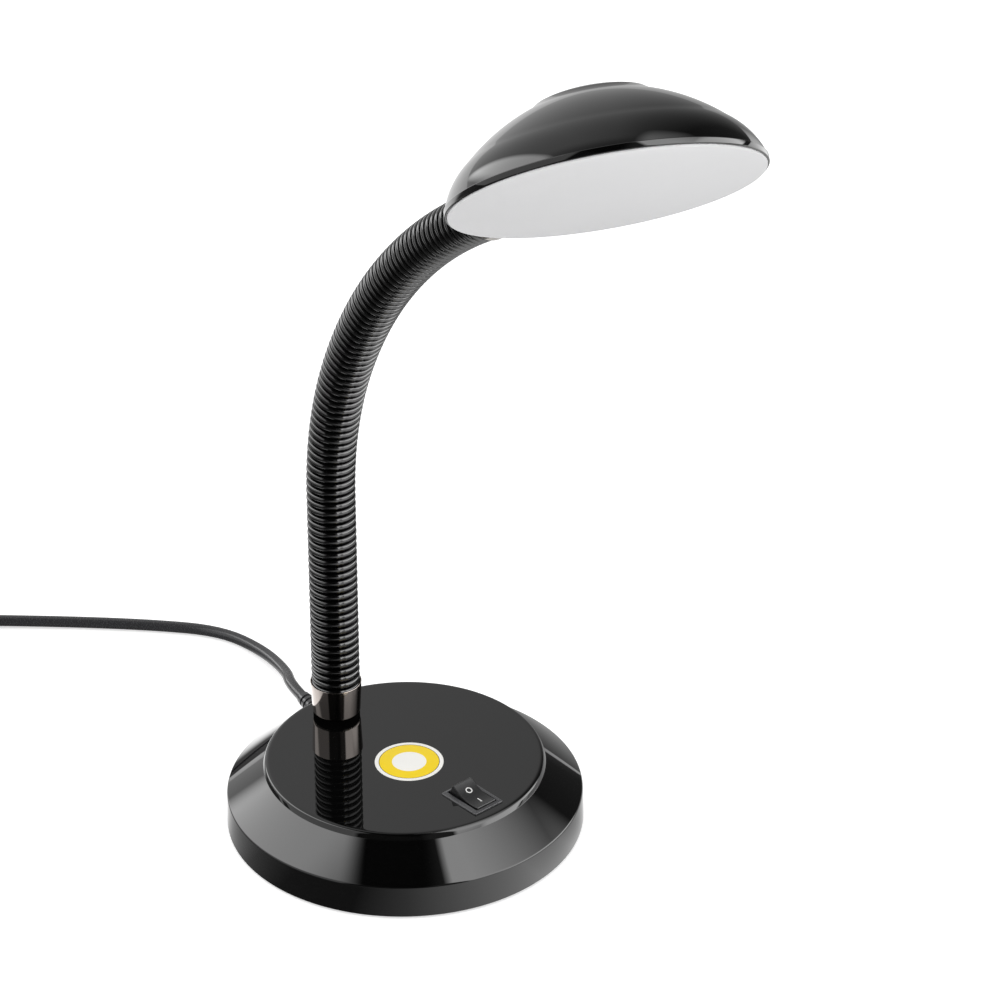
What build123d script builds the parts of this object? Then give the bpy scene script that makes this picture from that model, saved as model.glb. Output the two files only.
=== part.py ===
from build123d import *
import os
from math import atan2, ceil, cos, degrees, pi, radians, sin, tan

# Desk lamp: a round foot with a rocker switch, a corrugated gooseneck and a shallow closed
# shade with an opal diffuser. Millimetres, +Z up. The origin is the middle of the resting
# face, and +X points to the front, from the neck towards the switch.

# Foot
foot_r = 74.3
rim_draft = 0.3
rim_r = foot_r - rim_draft
rim_height = 14.8
bevel_width = 15.4
bevel_top_r = rim_r - bevel_width
deck_step_width = 1.1
deck_r = bevel_top_r - deck_step_width
deck_height = 29.8
deck_step = 2.5
bevel_top_height = deck_height - deck_step
deck_edge_round = 0.7
rim_edge_round = 1.2
foot_wall = 2.4
shell_lift = 0.8
fit_gap = 0.3
screw_gap = 0.15

pad_inset = 6.3
pad_r = foot_r - pad_inset
pad_thickness = 1.5
pad_hole_gap = 1.0
plate_thickness = 1.6
plate_gap = 0.6
post_r = 3.2
post_inset = 12.3
post_ring_r = foot_r - post_inset
post_count = 4
base_screw_r = 1.45
base_screw_head_r = 2.8
base_screw_head = 1.2
base_screw_length = 10.0
ballast_gap = 4.8
ballast_r = post_ring_r - post_r - ballast_gap
ballast_thickness = 6.0

# Driver board and its parts, hung from two bosses under the deck
board_length = 46.0
board_width = 24.0
board_thickness = 1.6
board_y = 27.0
board_height = 12.0
board_boss_r = 2.8
board_boss_spacing = 40.0
board_screw_r = 1.2
board_screw_head_r = 2.4
board_screw_head = 1.4
board_screw_length = 7.0
transformer_size = (13.0, 14.0, 10.5)
transformer_x = -8.0
capacitor_r = 4.0
capacitor_length = 11.0
capacitor_x = 8.0

# Rocker switch, a 21 x 15 frame in a snap-in cut-out
switch_inset = 15.2
switch_x = deck_r - switch_inset
bezel_length = 21.0
bezel_width = 15.0
bezel_thickness = 1.6
switch_body_length = 19.2
switch_body_width = 12.9
switch_body_depth = 14.0
cutout_gap = 0.1
well_length = 17.4
well_width = 11.0
well_depth = 7.5
barb_reach = 0.7
barb_height = 3.0
barb_width = 6.0
rocker_width = 10.6
rocker_pivot_drop = 2.0
rocker_half_length = 7.72
rocker_end_height = 4.0
rocker_middle_height = 2.64
rocker_hip_half_length = 8.43
rocker_belly = 3.5
rocker_rest_angle = 10.0
rocker_edge_round = 0.35
trunnion_r = 1.2
trunnion_hole_r = 1.4
trunnion_reach = 0.9
tab_width = 4.8
tab_thickness = 0.8
tab_length = 5.6
tab_spacing = 9.0

# Neck fittings
neck_inset = 14.0
neck_x = neck_inset - deck_r
gasket_r = 9.8
gasket_thickness = 2.0
cup_foot_r = 10.05
cup_mouth_r = 10.75
cup_length = 14.7
cup_floor = 1.5
cup_pocket = 6.0
cup_bore_r = 10.35
cup_foot_round = 1.0
nipple_r = 5.0
nipple_bore_r = 3.5
nipple_below_deck = 9.0
nipple_socket = 5.0
nipple_gap = 0.06
washer_r = 9.0
washer_thickness = 1.5
nut_across_flats = 14.0
nut_thickness = 5.0
head_nipple_r = 4.0
head_nipple_bore_r = 2.8
head_nut_across_flats = 12.0
head_nut_thickness = 4.0

# Gooseneck: a ribbed cover over a stiff flexible arm. It is made in stretches that hinge at
# rib roots. Its centre line starts on the collar's floor, rises straight and then bends
# forward in three arcs, each given by its radius and length.
neck_straight = 103.4
neck_bends = ((173.2, 66.6), (207.2, 60.0), (214.1, 67.0))
rib_pitch = 10 / 3
ribs_per_stretch = (8, 7, 7, 8, 7, 7, 8, 7, 8, 8, 8, 8)
rib_crest_r = 10.15
rib_root_r = 8.9
rib_flank = 1.2
sleeve_bore_r = 8.1
sleeve_seat_gap = 0.2
sleeve_sides = 18
core_r = 7.7
core_tip_r = 2.2
core_shoulder_gap = 1.3
core_tip_gap = 0.3
core_sides = 12

# Shade: its place and turn are measured from the neck's upper end
head_roll = 17.5
head_tilt = 4.1
shade_reach = 83.1
shade_drop = 14.4
shade_lip_r = 60.3
lip_height = 2.6
lip_stand = 0.4
shade_wall_r = shade_lip_r - lip_stand
shade_flank = (50.0, 16.8)
shade_brow = (38.0, 26.1)
crown_foot = (24.2, 33.0)
crown_edge = (21.4, 35.1)
crown_top = 38.7
crown_round = 0.8
shade_wall = 2.0
ledge_thickness = 1.2
lip_width = 1.7
diffuser_r = shade_lip_r - lip_width
ledge_width = 2.1
ledge_r = diffuser_r - ledge_width
diffuser_gap = 0.15
diffuser_crown = 1.2
tray_thickness = 1.0
tray_overlap = 0.5
tray_flange_r = ledge_r + tray_overlap
tray_flange = 2.5
tray_slope_width = 13.0
tray_flat_r = tray_flange_r - tray_flange - tray_slope_width
tray_flat_height = 9.8
led_plate_inset = 3.5
led_plate_r = tray_flat_r - led_plate_inset
led_plate_thickness = 1.6
led_rings = ((30.0, 12), (15.0, 6))
led_size = (3.5, 2.8, 0.8)
head_boss_r = 3.2
head_boss_inset = 4.0
head_boss_ring_r = led_plate_r - head_boss_inset
head_boss_count = 3
head_screw_r = 1.4
head_screw_head_r = 2.7
head_screw_head = 1.6
head_screw_length = 11.0
socket_end_r = 8.5
socket_length = 18.0
socket_wall = 2.5
socket_bore_r = 7.5

# Mains lead
cord_d = 5.0
exit_azimuth = 168.1
exit_height = 8.0
relief_inner_r = 4.6
relief_inner_flange = 1.6
relief_flange_r = 4.8
relief_flange = 1.6
relief_neck_r = 3.6
relief_root_r = 4.1
relief_tip_r = 3.0
relief_length = 16.2
relief_tip_reach = foot_r + relief_length
relief_groove_count = 3
relief_groove_start = 4.0
relief_groove_pitch = 3.2
relief_groove_width = 1.4
relief_groove_depth = 0.6
inner_lead_length = 11.0
clamp_width = 6.0
clamp_thickness = 1.2
clamp_foot_spacing = 16.0
clamp_inset = 7.0
clamp_screw_r = 1.2
clamp_screw_head_r = 2.3
clamp_screw_head = 1.3
clamp_screw_length = 2.4

# The free stretch runs to the coil through these points, measured from the relief's tip on
# the floor below it
cord_points = (
    (-24.4, 10.8, 5.2),
    (-48.6, 16.8, 2.5),
    (-73.4, 13.2, 2.5),
    (-98.4, -6.7, 2.5),
    (-127.9, -35.2, 2.6),
)
cord_exit_run = 12.0
cord_last_run = 34.0

# Coil: half turns whose radii fall to the inner one and rise again, a layer higher
coil_start = (-185.5, -100.3)
coil_heading = 229.7
coil_inner_r = 20.5
coil_step = 5.5
coil_lift = 0.8
coil_half_turns = 6
coil_sides = 6
tie_width = 4.0
tie_thickness = 0.5
tie_gap = 0.3

plug_height = 13.7
plug_width = 35.3
plug_length = 48.0
plug_tail_width = 8.0
plug_tail_length = 20.0
plug_waist_width = 18.0
plug_waist_length = 25.0
plug_corner = 3.0
pin_r = 2.0
pin_length = 19.0
pin_spacing = 18.6

os.makedirs("parts", exist_ok=True)


def write(piece, name):
    """Label a finished piece and write its file."""
    piece.part.label = name
    export_step(piece.part, f"parts/{name}.step")


# Foot
plate_bottom = pad_thickness
plate_top = plate_bottom + plate_thickness
plate_r = foot_r - foot_wall - plate_gap
ballast_top = plate_top + ballast_thickness
roof_height = deck_height - foot_wall
bevel_slope = (bevel_top_height - rim_height) / (rim_r - bevel_top_r)
bevel_wall = foot_wall / cos(atan2(bevel_top_height - rim_height, rim_r - bevel_top_r))
cavity_r = foot_r - foot_wall
cavity_shoulder = rim_height + (rim_r - cavity_r) * bevel_slope - bevel_wall
cavity_roof_r = rim_r - (roof_height + bevel_wall - rim_height) / bevel_slope
exit_direction = Vector(cos(radians(exit_azimuth)), sin(radians(exit_azimuth)), 0)
exit_plane = Plane(origin=(0, 0, exit_height), x_dir=(0, 0, 1), z_dir=exit_direction)

# The hollow of the foot, less the posts and bosses that stand in it
with BuildPart() as foot_hollow:
    with BuildSketch(Plane.XZ):
        with BuildLine():
            Polyline(
                (0, 0),
                (cavity_r, 0),
                (cavity_r, cavity_shoulder),
                (cavity_roof_r, roof_height),
                (0, roof_height),
                close=True,
            )
        make_face()
    revolve(axis=Axis.Z)
    with BuildSketch(Plane.XY.offset(plate_top)):
        with PolarLocations(post_ring_r, post_count, start_angle=45):
            Circle(post_r)
    extrude(amount=deck_height, mode=Mode.SUBTRACT)
    with BuildSketch(Plane.XY.offset(board_height + board_thickness)):
        with Locations((0, board_y)):
            with GridLocations(board_boss_spacing, 0, 2, 1):
                Circle(board_boss_r)
    extrude(amount=deck_height, mode=Mode.SUBTRACT)

with BuildPart() as base_shell:
    with BuildSketch(Plane.XZ) as foot_section:
        with BuildLine():
            Polyline(
                (0, shell_lift),
                (foot_r, shell_lift),
                (rim_r, rim_height),
                (bevel_top_r, bevel_top_height),
                (deck_r, deck_height),
                (0, deck_height),
                close=True,
            )
        make_face()
        corners = foot_section.vertices().group_by(Axis.X)
        fillet(corners[-2], radius=rim_edge_round)
        fillet(foot_section.vertices().group_by(Axis.X)[1], radius=deck_edge_round)
    revolve(axis=Axis.Z)
    add(foot_hollow.part, mode=Mode.SUBTRACT)
    with BuildSketch(Plane.XY.offset(deck_height)):
        with Locations((neck_x, 0)):
            Circle(nipple_r + nipple_gap)
        with Locations((switch_x, 0)):
            Rectangle(switch_body_length + 2 * cutout_gap, switch_body_width + 2 * cutout_gap)
    extrude(amount=-2 * foot_wall, mode=Mode.SUBTRACT)
    with BuildSketch(exit_plane.offset(cavity_r - foot_wall)):
        Circle(relief_neck_r + screw_gap)
    extrude(amount=3 * foot_wall, mode=Mode.SUBTRACT)
    with BuildSketch(Plane.XY.offset(plate_top)):
        with PolarLocations(post_ring_r, post_count, start_angle=45):
            Circle(base_screw_r)
    extrude(amount=base_screw_length, mode=Mode.SUBTRACT)
    with BuildSketch(Plane.XY.offset(board_height + board_thickness)):
        with Locations((0, board_y)):
            with GridLocations(board_boss_spacing, 0, 2, 1):
                Circle(board_screw_r)
    extrude(amount=board_screw_length, mode=Mode.SUBTRACT)
write(base_shell, "base_shell")

with BuildPart() as base_plate:
    with BuildSketch(Plane.XY.offset(plate_bottom)):
        Circle(plate_r)
        with PolarLocations(post_ring_r, post_count, start_angle=45):
            Circle(base_screw_r + screw_gap, mode=Mode.SUBTRACT)
    extrude(amount=plate_thickness)
write(base_plate, "base_plate")

with BuildPart() as foot_pad:
    with BuildSketch(Plane.XY):
        Circle(pad_r)
        with PolarLocations(post_ring_r, post_count, start_angle=45):
            Circle(base_screw_head_r + pad_hole_gap, mode=Mode.SUBTRACT)
    extrude(amount=pad_thickness)
write(foot_pad, "foot_pad")

with BuildPart() as base_screws:
    with BuildSketch(Plane.XY.offset(plate_bottom)):
        with PolarLocations(post_ring_r, post_count, start_angle=45):
            Circle(base_screw_head_r)
    extrude(amount=-base_screw_head)
    with BuildSketch(Plane.XY.offset(plate_bottom)):
        with PolarLocations(post_ring_r, post_count, start_angle=45):
            Circle(base_screw_r - screw_gap / 3)
    extrude(amount=base_screw_length)
write(base_screws, "base_screws")

with BuildPart() as ballast_weight:
    with BuildSketch(Plane.XY.offset(plate_top)):
        Circle(ballast_r)
    extrude(amount=ballast_thickness)
write(ballast_weight, "ballast_weight")

# Driver
board_top = board_height + board_thickness
with BuildPart() as driver_board:
    with BuildSketch(Plane.XY.offset(board_height)):
        with Locations((0, board_y)):
            Rectangle(board_length, board_width)
            with GridLocations(board_boss_spacing, 0, 2, 1):
                Circle(board_screw_r + screw_gap, mode=Mode.SUBTRACT)
    extrude(amount=board_thickness)
write(driver_board, "driver_board")

with BuildPart() as driver_parts:
    with BuildSketch(Plane.XY.offset(board_top)):
        with Locations((transformer_x, board_y)):
            Rectangle(transformer_size[0], transformer_size[1])
    extrude(amount=transformer_size[2])
    with BuildSketch(Plane.XY.offset(board_top)):
        with Locations((capacitor_x, board_y)):
            Circle(capacitor_r)
    extrude(amount=capacitor_length)
write(driver_parts, "driver_parts")

with BuildPart() as driver_screws:
    with BuildSketch(Plane.XY.offset(board_height)):
        with Locations((0, board_y)):
            with GridLocations(board_boss_spacing, 0, 2, 1):
                Circle(board_screw_head_r)
    extrude(amount=-board_screw_head)
    with BuildSketch(Plane.XY.offset(board_height)):
        with Locations((0, board_y)):
            with GridLocations(board_boss_spacing, 0, 2, 1):
                Circle(board_screw_r - screw_gap / 3)
    extrude(amount=board_screw_length)
write(driver_screws, "driver_screws")

# Switch
bezel_top = deck_height + bezel_thickness
pivot_height = bezel_top - rocker_pivot_drop
switch_bottom = bezel_top - bezel_thickness - switch_body_depth

with BuildPart() as switch_housing:
    with BuildSketch(Plane.XY.offset(deck_height)):
        with Locations((switch_x, 0)):
            Rectangle(bezel_length, bezel_width)
    extrude(amount=bezel_thickness)
    chamfer(switch_housing.edges().group_by(Axis.Z)[-1], length=bezel_thickness / 4)
    with BuildSketch(Plane.XY.offset(deck_height)):
        with Locations((switch_x, 0)):
            Rectangle(switch_body_length, switch_body_width)
    extrude(amount=-switch_body_depth)
    with BuildSketch(Plane(origin=(switch_x, 0, roof_height), x_dir=(1, 0, 0), z_dir=(0, -1, 0))):
        with BuildLine():
            Polyline(
                (-switch_body_length / 2 - barb_reach, -screw_gap),
                (-switch_body_length / 2, -barb_height),
                (switch_body_length / 2, -barb_height),
                (switch_body_length / 2 + barb_reach, -screw_gap),
                close=True,
            )
        make_face()
    extrude(amount=barb_width / 2, both=True)
    with BuildSketch(Plane.XY.offset(bezel_top)):
        with Locations((switch_x, 0)):
            Rectangle(well_length, well_width)
    extrude(amount=-well_depth, mode=Mode.SUBTRACT)
    with BuildSketch(Plane.XZ):
        with Locations((switch_x, pivot_height)):
            Circle(trunnion_hole_r)
    extrude(amount=switch_body_width / 2, both=True, mode=Mode.SUBTRACT)
write(switch_housing, "switch_housing")

# The rocker rests with its front end pressed
rest_angle = radians(rocker_rest_angle)
rocker_rest = Plane(
    origin=(switch_x, 0, pivot_height),
    x_dir=(cos(rest_angle), 0, -sin(rest_angle)),
    z_dir=(0, -1, 0),
)
with BuildPart() as switch_rocker:
    with BuildSketch(rocker_rest) as rocker_section:
        with BuildLine():
            Polyline(
                (-rocker_hip_half_length, 0),
                (-rocker_half_length, rocker_end_height),
                (0, rocker_middle_height),
                (rocker_half_length, rocker_end_height),
                (rocker_hip_half_length, 0),
            )
            ThreePointArc(
                (rocker_hip_half_length, 0),
                (0, -rocker_belly),
                (-rocker_hip_half_length, 0),
            )
        make_face()
        fillet(rocker_section.vertices(), radius=rocker_edge_round)
    extrude(amount=rocker_width / 2, both=True)
    with BuildSketch(rocker_rest):
        Circle(trunnion_r)
    extrude(amount=rocker_width / 2 + trunnion_reach, both=True)
write(switch_rocker, "switch_rocker")

with BuildPart() as switch_terminals:
    with BuildSketch(Plane.XY.offset(switch_bottom)):
        with Locations((switch_x, 0)):
            with GridLocations(tab_spacing, 0, 2, 1):
                Rectangle(tab_thickness, tab_width)
    extrude(amount=-tab_length)
write(switch_terminals, "switch_terminals")

# Neck's centre line
collar_bottom = deck_height + gasket_thickness
neck_start = (neck_x, collar_bottom + cup_floor)
with BuildLine(Plane.XZ) as neck_axis:
    riser = Line(neck_start, (neck_x, neck_start[1] + neck_straight))
    joint_edge = riser
    for bend_r, bend_length in neck_bends:
        joint_edge = JernArc(
            start=joint_edge @ 1,
            tangent=joint_edge % 1,
            radius=bend_r,
            arc_size=-degrees(bend_length / bend_r),
        )
neck_wire = neck_axis.wire()
neck_length = neck_wire.length


def neck_plane(distance):
    """Plane square to the neck at a distance along it, straight on beyond its upper end."""
    along = min(distance, neck_length)
    point = neck_wire.position_at(along, position_mode=PositionMode.LENGTH)
    direction = neck_wire.tangent_at(along, position_mode=PositionMode.LENGTH)
    beyond = direction * max(distance - neck_length, 0)
    return Plane(origin=point + beyond, x_dir=(0, 1, 0), z_dir=direction)


def cup_outline(hole_r):
    """Half section of a neck cup from its closed end, as radius and height."""
    return (
        (hole_r, 0),
        (cup_foot_r, 0),
        (cup_mouth_r, cup_length),
        (cup_bore_r, cup_length),
        (cup_bore_r, cup_length - cup_pocket),
        (core_r + fit_gap, cup_length - cup_pocket),
        (core_r + fit_gap, cup_floor),
        (hole_r, cup_floor),
    )


neck_base = Plane(origin=(neck_x, 0, collar_bottom), x_dir=(1, 0, 0), z_dir=(0, -1, 0))
neck_base_axis = Axis((neck_x, 0, 0), (0, 0, 1))

with BuildPart() as neck_gasket:
    with BuildSketch(Plane.XY.offset(deck_height)):
        with Locations((neck_x, 0)):
            Circle(gasket_r)
            Circle(nipple_r + nipple_gap, mode=Mode.SUBTRACT)
    extrude(amount=gasket_thickness)
write(neck_gasket, "neck_gasket")

with BuildPart() as neck_collar:
    with BuildSketch(neck_base) as collar_section:
        with BuildLine():
            Polyline(*cup_outline(nipple_r + nipple_gap), close=True)
        make_face()
        foot_corner = collar_section.vertices().sort_by_distance((cup_foot_r, 0))[0]
        fillet(foot_corner, radius=cup_foot_round)
    revolve(axis=neck_base_axis)
write(neck_collar, "neck_collar")

nipple_bottom = roof_height - nipple_below_deck
with BuildPart() as neck_nipple:
    with BuildSketch(Plane.XY.offset(nipple_bottom)):
        with Locations((neck_x, 0)):
            Circle(nipple_r)
            Circle(nipple_bore_r, mode=Mode.SUBTRACT)
    extrude(amount=neck_start[1] + nipple_socket - nipple_bottom)
write(neck_nipple, "neck_nipple")

with BuildPart() as neck_washer:
    with BuildSketch(Plane.XY.offset(roof_height)):
        with Locations((neck_x, 0)):
            Circle(washer_r)
            Circle(nipple_r + nipple_gap, mode=Mode.SUBTRACT)
    extrude(amount=-washer_thickness)
write(neck_washer, "neck_washer")

with BuildPart() as neck_nut:
    with BuildSketch(Plane.XY.offset(roof_height - washer_thickness)):
        with Locations((neck_x, 0)):
            RegularPolygon(nut_across_flats / 2, 6, major_radius=False)
            Circle(nipple_r + nipple_gap, mode=Mode.SUBTRACT)
    extrude(amount=-nut_thickness)
write(neck_nut, "neck_nut")

# Gooseneck
sleeve_start = cup_length - cup_pocket - cup_floor + sleeve_seat_gap
hinge_marks = [sleeve_start]
for rib_count in ribs_per_stretch:
    hinge_marks.append(hinge_marks[-1] + rib_count * rib_pitch)
stretch_count = len(ribs_per_stretch)
ferrule_end = hinge_marks[-1] + sleeve_seat_gap - cup_pocket + cup_length
core_end = ferrule_end - cup_floor

for stretch in range(stretch_count):
    first = stretch == 0
    last = stretch == stretch_count - 1
    lower = hinge_marks[stretch]
    upper = hinge_marks[stretch + 1]

    # Each rib is a ruled band between root, crest, crest and root
    sections = []
    for rib in range(ribs_per_stretch[stretch]):
        foot = lower + rib * rib_pitch
        if rib > 0 or first:
            sections.append((foot, rib_root_r))
        sections.append((foot + rib_flank, rib_crest_r))
        sections.append((foot + rib_pitch - rib_flank, rib_crest_r))
    if last:
        sections.append((upper, rib_root_r))
    with BuildPart() as neck_sleeve:
        for distance, section_r in sections:
            with BuildSketch(neck_plane(distance)):
                RegularPolygon(section_r, sleeve_sides)
        loft(ruled=True)
        for distance in (sections[0][0] - rib_flank, sections[-1][0] + rib_flank):
            with BuildSketch(neck_plane(distance)):
                RegularPolygon(sleeve_bore_r, sleeve_sides)
        loft(ruled=True, mode=Mode.SUBTRACT)
    write(neck_sleeve, f"neck_sleeve_{stretch + 1:02d}")

    # The arm inside narrows to a tip at each hinge
    sections = [(0, core_r)]
    if not first:
        sections = [(lower + core_tip_gap, core_tip_r), (lower + core_shoulder_gap, core_r)]
    if last:
        sections.append((core_end, core_r))
    else:
        sections.append((upper - core_shoulder_gap, core_r))
        sections.append((upper - core_tip_gap, core_tip_r))
    with BuildPart() as neck_core:
        for distance, section_r in sections:
            with BuildSketch(neck_plane(distance)):
                RegularPolygon(section_r, core_sides)
        loft(ruled=True)
        if first:
            with BuildSketch(neck_plane(0)):
                Circle(nipple_r + nipple_gap)
            extrude(amount=nipple_socket + fit_gap, mode=Mode.SUBTRACT)
        if last:
            with BuildSketch(neck_plane(core_end)):
                Circle(head_nipple_r + nipple_gap)
            extrude(amount=-nipple_socket - fit_gap, mode=Mode.SUBTRACT)
    write(neck_core, f"neck_core_{stretch + 1:02d}")

# Shade
neck_top = neck_plane(neck_length)
roll = radians(head_roll)
tilt = radians(head_tilt)
across_up = neck_top.y_dir * cos(roll) + neck_top.x_dir * sin(roll)
shade_up = across_up * cos(tilt) - neck_top.z_dir * sin(tilt)
shade_forward = (neck_top.z_dir + shade_up * sin(tilt)).normalized()
shade_middle = neck_top.origin + shade_forward * shade_reach - shade_up * shade_drop
shade_plane = Plane(origin=shade_middle, x_dir=shade_forward, z_dir=shade_up)
shade_section = Plane(origin=shade_middle, x_dir=shade_forward, z_dir=-shade_plane.y_dir)
shade_axis = Axis(shade_middle, shade_up)
ferrule_plane = neck_plane(ferrule_end)
ferrule_section = Plane(
    origin=ferrule_plane.origin, x_dir=ferrule_plane.y_dir, z_dir=ferrule_plane.x_dir
)
ferrule_axis = Axis(ferrule_plane.origin, ferrule_plane.z_dir)

with BuildPart() as head_ferrule:
    with BuildSketch(ferrule_section) as ferrule_outline:
        with BuildLine():
            outline = [(r, -height) for r, height in cup_outline(head_nipple_r + nipple_gap)]
            Polyline(*outline, close=True)
        make_face()
        foot_corner = ferrule_outline.vertices().sort_by_distance((cup_foot_r, 0))[0]
        fillet(foot_corner, radius=cup_foot_round)
    revolve(axis=ferrule_axis)
write(head_ferrule, "head_ferrule")


def inset(point, arc):
    """Point moved from an arc towards its centre by the shade's wall."""
    return point + (arc.arc_center - point).normalized() * shade_wall


crown_r = (crown_edge[0] ** 2 + (crown_top - crown_edge[1]) ** 2) / (
    2 * (crown_top - crown_edge[1])
)
tray_top = tray_flat_height + tray_thickness
with BuildSketch(shade_section) as shade_outline:
    with BuildLine():
        brow = ThreePointArc(crown_foot, shade_brow, shade_flank)
        flank = TangentArc(brow @ 1, (shade_wall_r, lip_height), tangent=brow % 1)
        Line((shade_wall_r, lip_height), (0, lip_height))
        Line((0, lip_height), (0, crown_top))
        RadiusArc((0, crown_top), crown_edge, crown_r)
        Line(crown_edge, crown_foot)
    make_face()
    fillet(shade_outline.vertices().sort_by_distance(crown_edge)[0], radius=crown_round)

with BuildPart() as shade_hollow:
    with BuildSketch(shade_section):
        with BuildLine():
            inner_brow = ThreePointArc(
                *[inset(Vector(*point), brow) for point in (crown_foot, shade_brow, shade_flank)]
            )
            inner_flank = TangentArc(
                inner_brow @ 1, (shade_wall_r - shade_wall, lip_height), tangent=inner_brow % 1
            )
            Polyline(
                (shade_wall_r - shade_wall, lip_height),
                (0, lip_height),
                (0, crown_top - shade_wall),
                (crown_edge[0] - shade_wall, crown_edge[1] - shade_wall),
                inner_brow @ 0,
            )
        make_face()
    revolve(axis=shade_axis)
    with BuildSketch(shade_plane.offset(tray_top)):
        with PolarLocations(head_boss_ring_r, head_boss_count):
            Circle(head_boss_r)
    extrude(amount=crown_top, mode=Mode.SUBTRACT)

with BuildPart() as shade_shell:
    add(shade_outline.sketch)
    revolve(axis=shade_axis)
    with BuildSketch(ferrule_plane):
        Circle(cup_foot_r)
    with BuildSketch(ferrule_plane.offset(socket_length)):
        Circle(socket_end_r)
    loft()
    add(shade_hollow.part, mode=Mode.SUBTRACT)
    with BuildSketch(ferrule_plane.offset(socket_wall)):
        Circle(socket_bore_r)
    extrude(amount=socket_length - socket_wall, mode=Mode.SUBTRACT)
    with BuildSketch(ferrule_plane):
        Circle(head_nipple_r + nipple_gap)
    extrude(amount=socket_wall, mode=Mode.SUBTRACT)
    with BuildSketch(shade_plane.offset(tray_top)):
        with PolarLocations(head_boss_ring_r, head_boss_count):
            Circle(head_screw_r)
    extrude(amount=head_screw_length, mode=Mode.SUBTRACT)
write(shade_shell, "shade_shell")

with BuildPart() as shade_bezel:
    with BuildSketch(shade_section) as lip_section:
        with BuildLine():
            Polyline(
                (diffuser_r + diffuser_gap, 0),
                (shade_lip_r, 0),
                (shade_lip_r, lip_height),
                (ledge_r, lip_height),
                (ledge_r, lip_height - ledge_thickness),
                (diffuser_r + diffuser_gap, lip_height - ledge_thickness),
                close=True,
            )
        make_face()
    revolve(axis=shade_axis)
write(shade_bezel, "shade_bezel")

diffuser_curve_r = (diffuser_r**2 + diffuser_crown**2) / (2 * diffuser_crown)
with BuildPart() as diffuser:
    with BuildSketch(shade_section):
        with BuildLine():
            Polyline(
                (diffuser_r, 0),
                (diffuser_r, lip_height - ledge_thickness),
                (0, lip_height - ledge_thickness),
                (0, -diffuser_crown),
            )
            RadiusArc((0, -diffuser_crown), (diffuser_r, 0), -diffuser_curve_r)
        make_face()
    revolve(axis=shade_axis)
write(diffuser, "diffuser")

with BuildPart() as reflector_tray:
    with BuildSketch(shade_section):
        with BuildLine():
            Polyline(
                (tray_flange_r, lip_height),
                (tray_flange_r - tray_flange, lip_height),
                (tray_flat_r, tray_flat_height),
                (0, tray_flat_height),
                (0, tray_top),
                (tray_flat_r, tray_top),
                (tray_flange_r - tray_flange, lip_height + tray_thickness),
                (tray_flange_r, lip_height + tray_thickness),
                close=True,
            )
        make_face()
    revolve(axis=shade_axis)
    with BuildSketch(shade_plane.offset(tray_top)):
        with PolarLocations(head_boss_ring_r, head_boss_count):
            Circle(head_screw_r + screw_gap)
    extrude(amount=-tray_thickness, mode=Mode.SUBTRACT)
write(reflector_tray, "reflector_tray")

plate_bottom_height = tray_flat_height - led_plate_thickness
with BuildPart() as led_plate:
    with BuildSketch(shade_plane.offset(plate_bottom_height)):
        Circle(led_plate_r)
        with PolarLocations(head_boss_ring_r, head_boss_count):
            Circle(head_screw_r + screw_gap, mode=Mode.SUBTRACT)
    extrude(amount=led_plate_thickness)
write(led_plate, "led_plate")

with BuildPart() as led_chips:
    for ring_r, ring_count in led_rings:
        with BuildSketch(shade_plane.offset(plate_bottom_height)):
            with PolarLocations(ring_r, ring_count, start_angle=180 / ring_count):
                Rectangle(led_size[0], led_size[1])
        extrude(amount=-led_size[2])
write(led_chips, "led_chips")

with BuildPart() as head_screws:
    with BuildSketch(shade_plane.offset(plate_bottom_height)):
        with PolarLocations(head_boss_ring_r, head_boss_count):
            Circle(head_screw_head_r)
    extrude(amount=-head_screw_head)
    with BuildSketch(shade_plane.offset(plate_bottom_height)):
        with PolarLocations(head_boss_ring_r, head_boss_count):
            Circle(head_screw_r - screw_gap / 3)
    extrude(amount=head_screw_length)
write(head_screws, "head_screws")

with BuildPart() as head_nipple:
    with BuildSketch(neck_plane(core_end - nipple_socket)):
        Circle(head_nipple_r)
        Circle(head_nipple_bore_r, mode=Mode.SUBTRACT)
    extrude(amount=nipple_socket + cup_floor + socket_wall + head_nut_thickness + fit_gap)
write(head_nipple, "head_nipple")

with BuildPart() as head_nut:
    with BuildSketch(ferrule_plane.offset(socket_wall)):
        RegularPolygon(head_nut_across_flats / 2, 6, major_radius=False)
        Circle(head_nipple_r + nipple_gap, mode=Mode.SUBTRACT)
    extrude(amount=head_nut_thickness)
write(head_nut, "head_nut")

# Lead's exit
exit_section = Plane(origin=(0, 0, exit_height), x_dir=exit_direction, z_dir=(0, 0, 1))
exit_axis = Axis((0, 0, exit_height), exit_direction)
relief_inner_face = cavity_r - fit_gap
relief_outer_face = foot_r + screw_gap
relief_start = relief_inner_face - relief_inner_flange
relief_taper_start = relief_outer_face + relief_flange
relief_taper = (relief_root_r - relief_tip_r) / (relief_tip_reach - relief_taper_start)

# Grooves round the tapered tail let it bend
tail_outline = []
for groove in range(relief_groove_count):
    near = relief_taper_start + relief_groove_start + groove * relief_groove_pitch
    for reach, depth in (
        (near, 0),
        (near, relief_groove_depth),
        (near + relief_groove_width, relief_groove_depth),
        (near + relief_groove_width, 0),
    ):
        tail_r = relief_root_r - relief_taper * (reach - relief_taper_start)
        tail_outline.append((reach, tail_r - depth))

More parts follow.
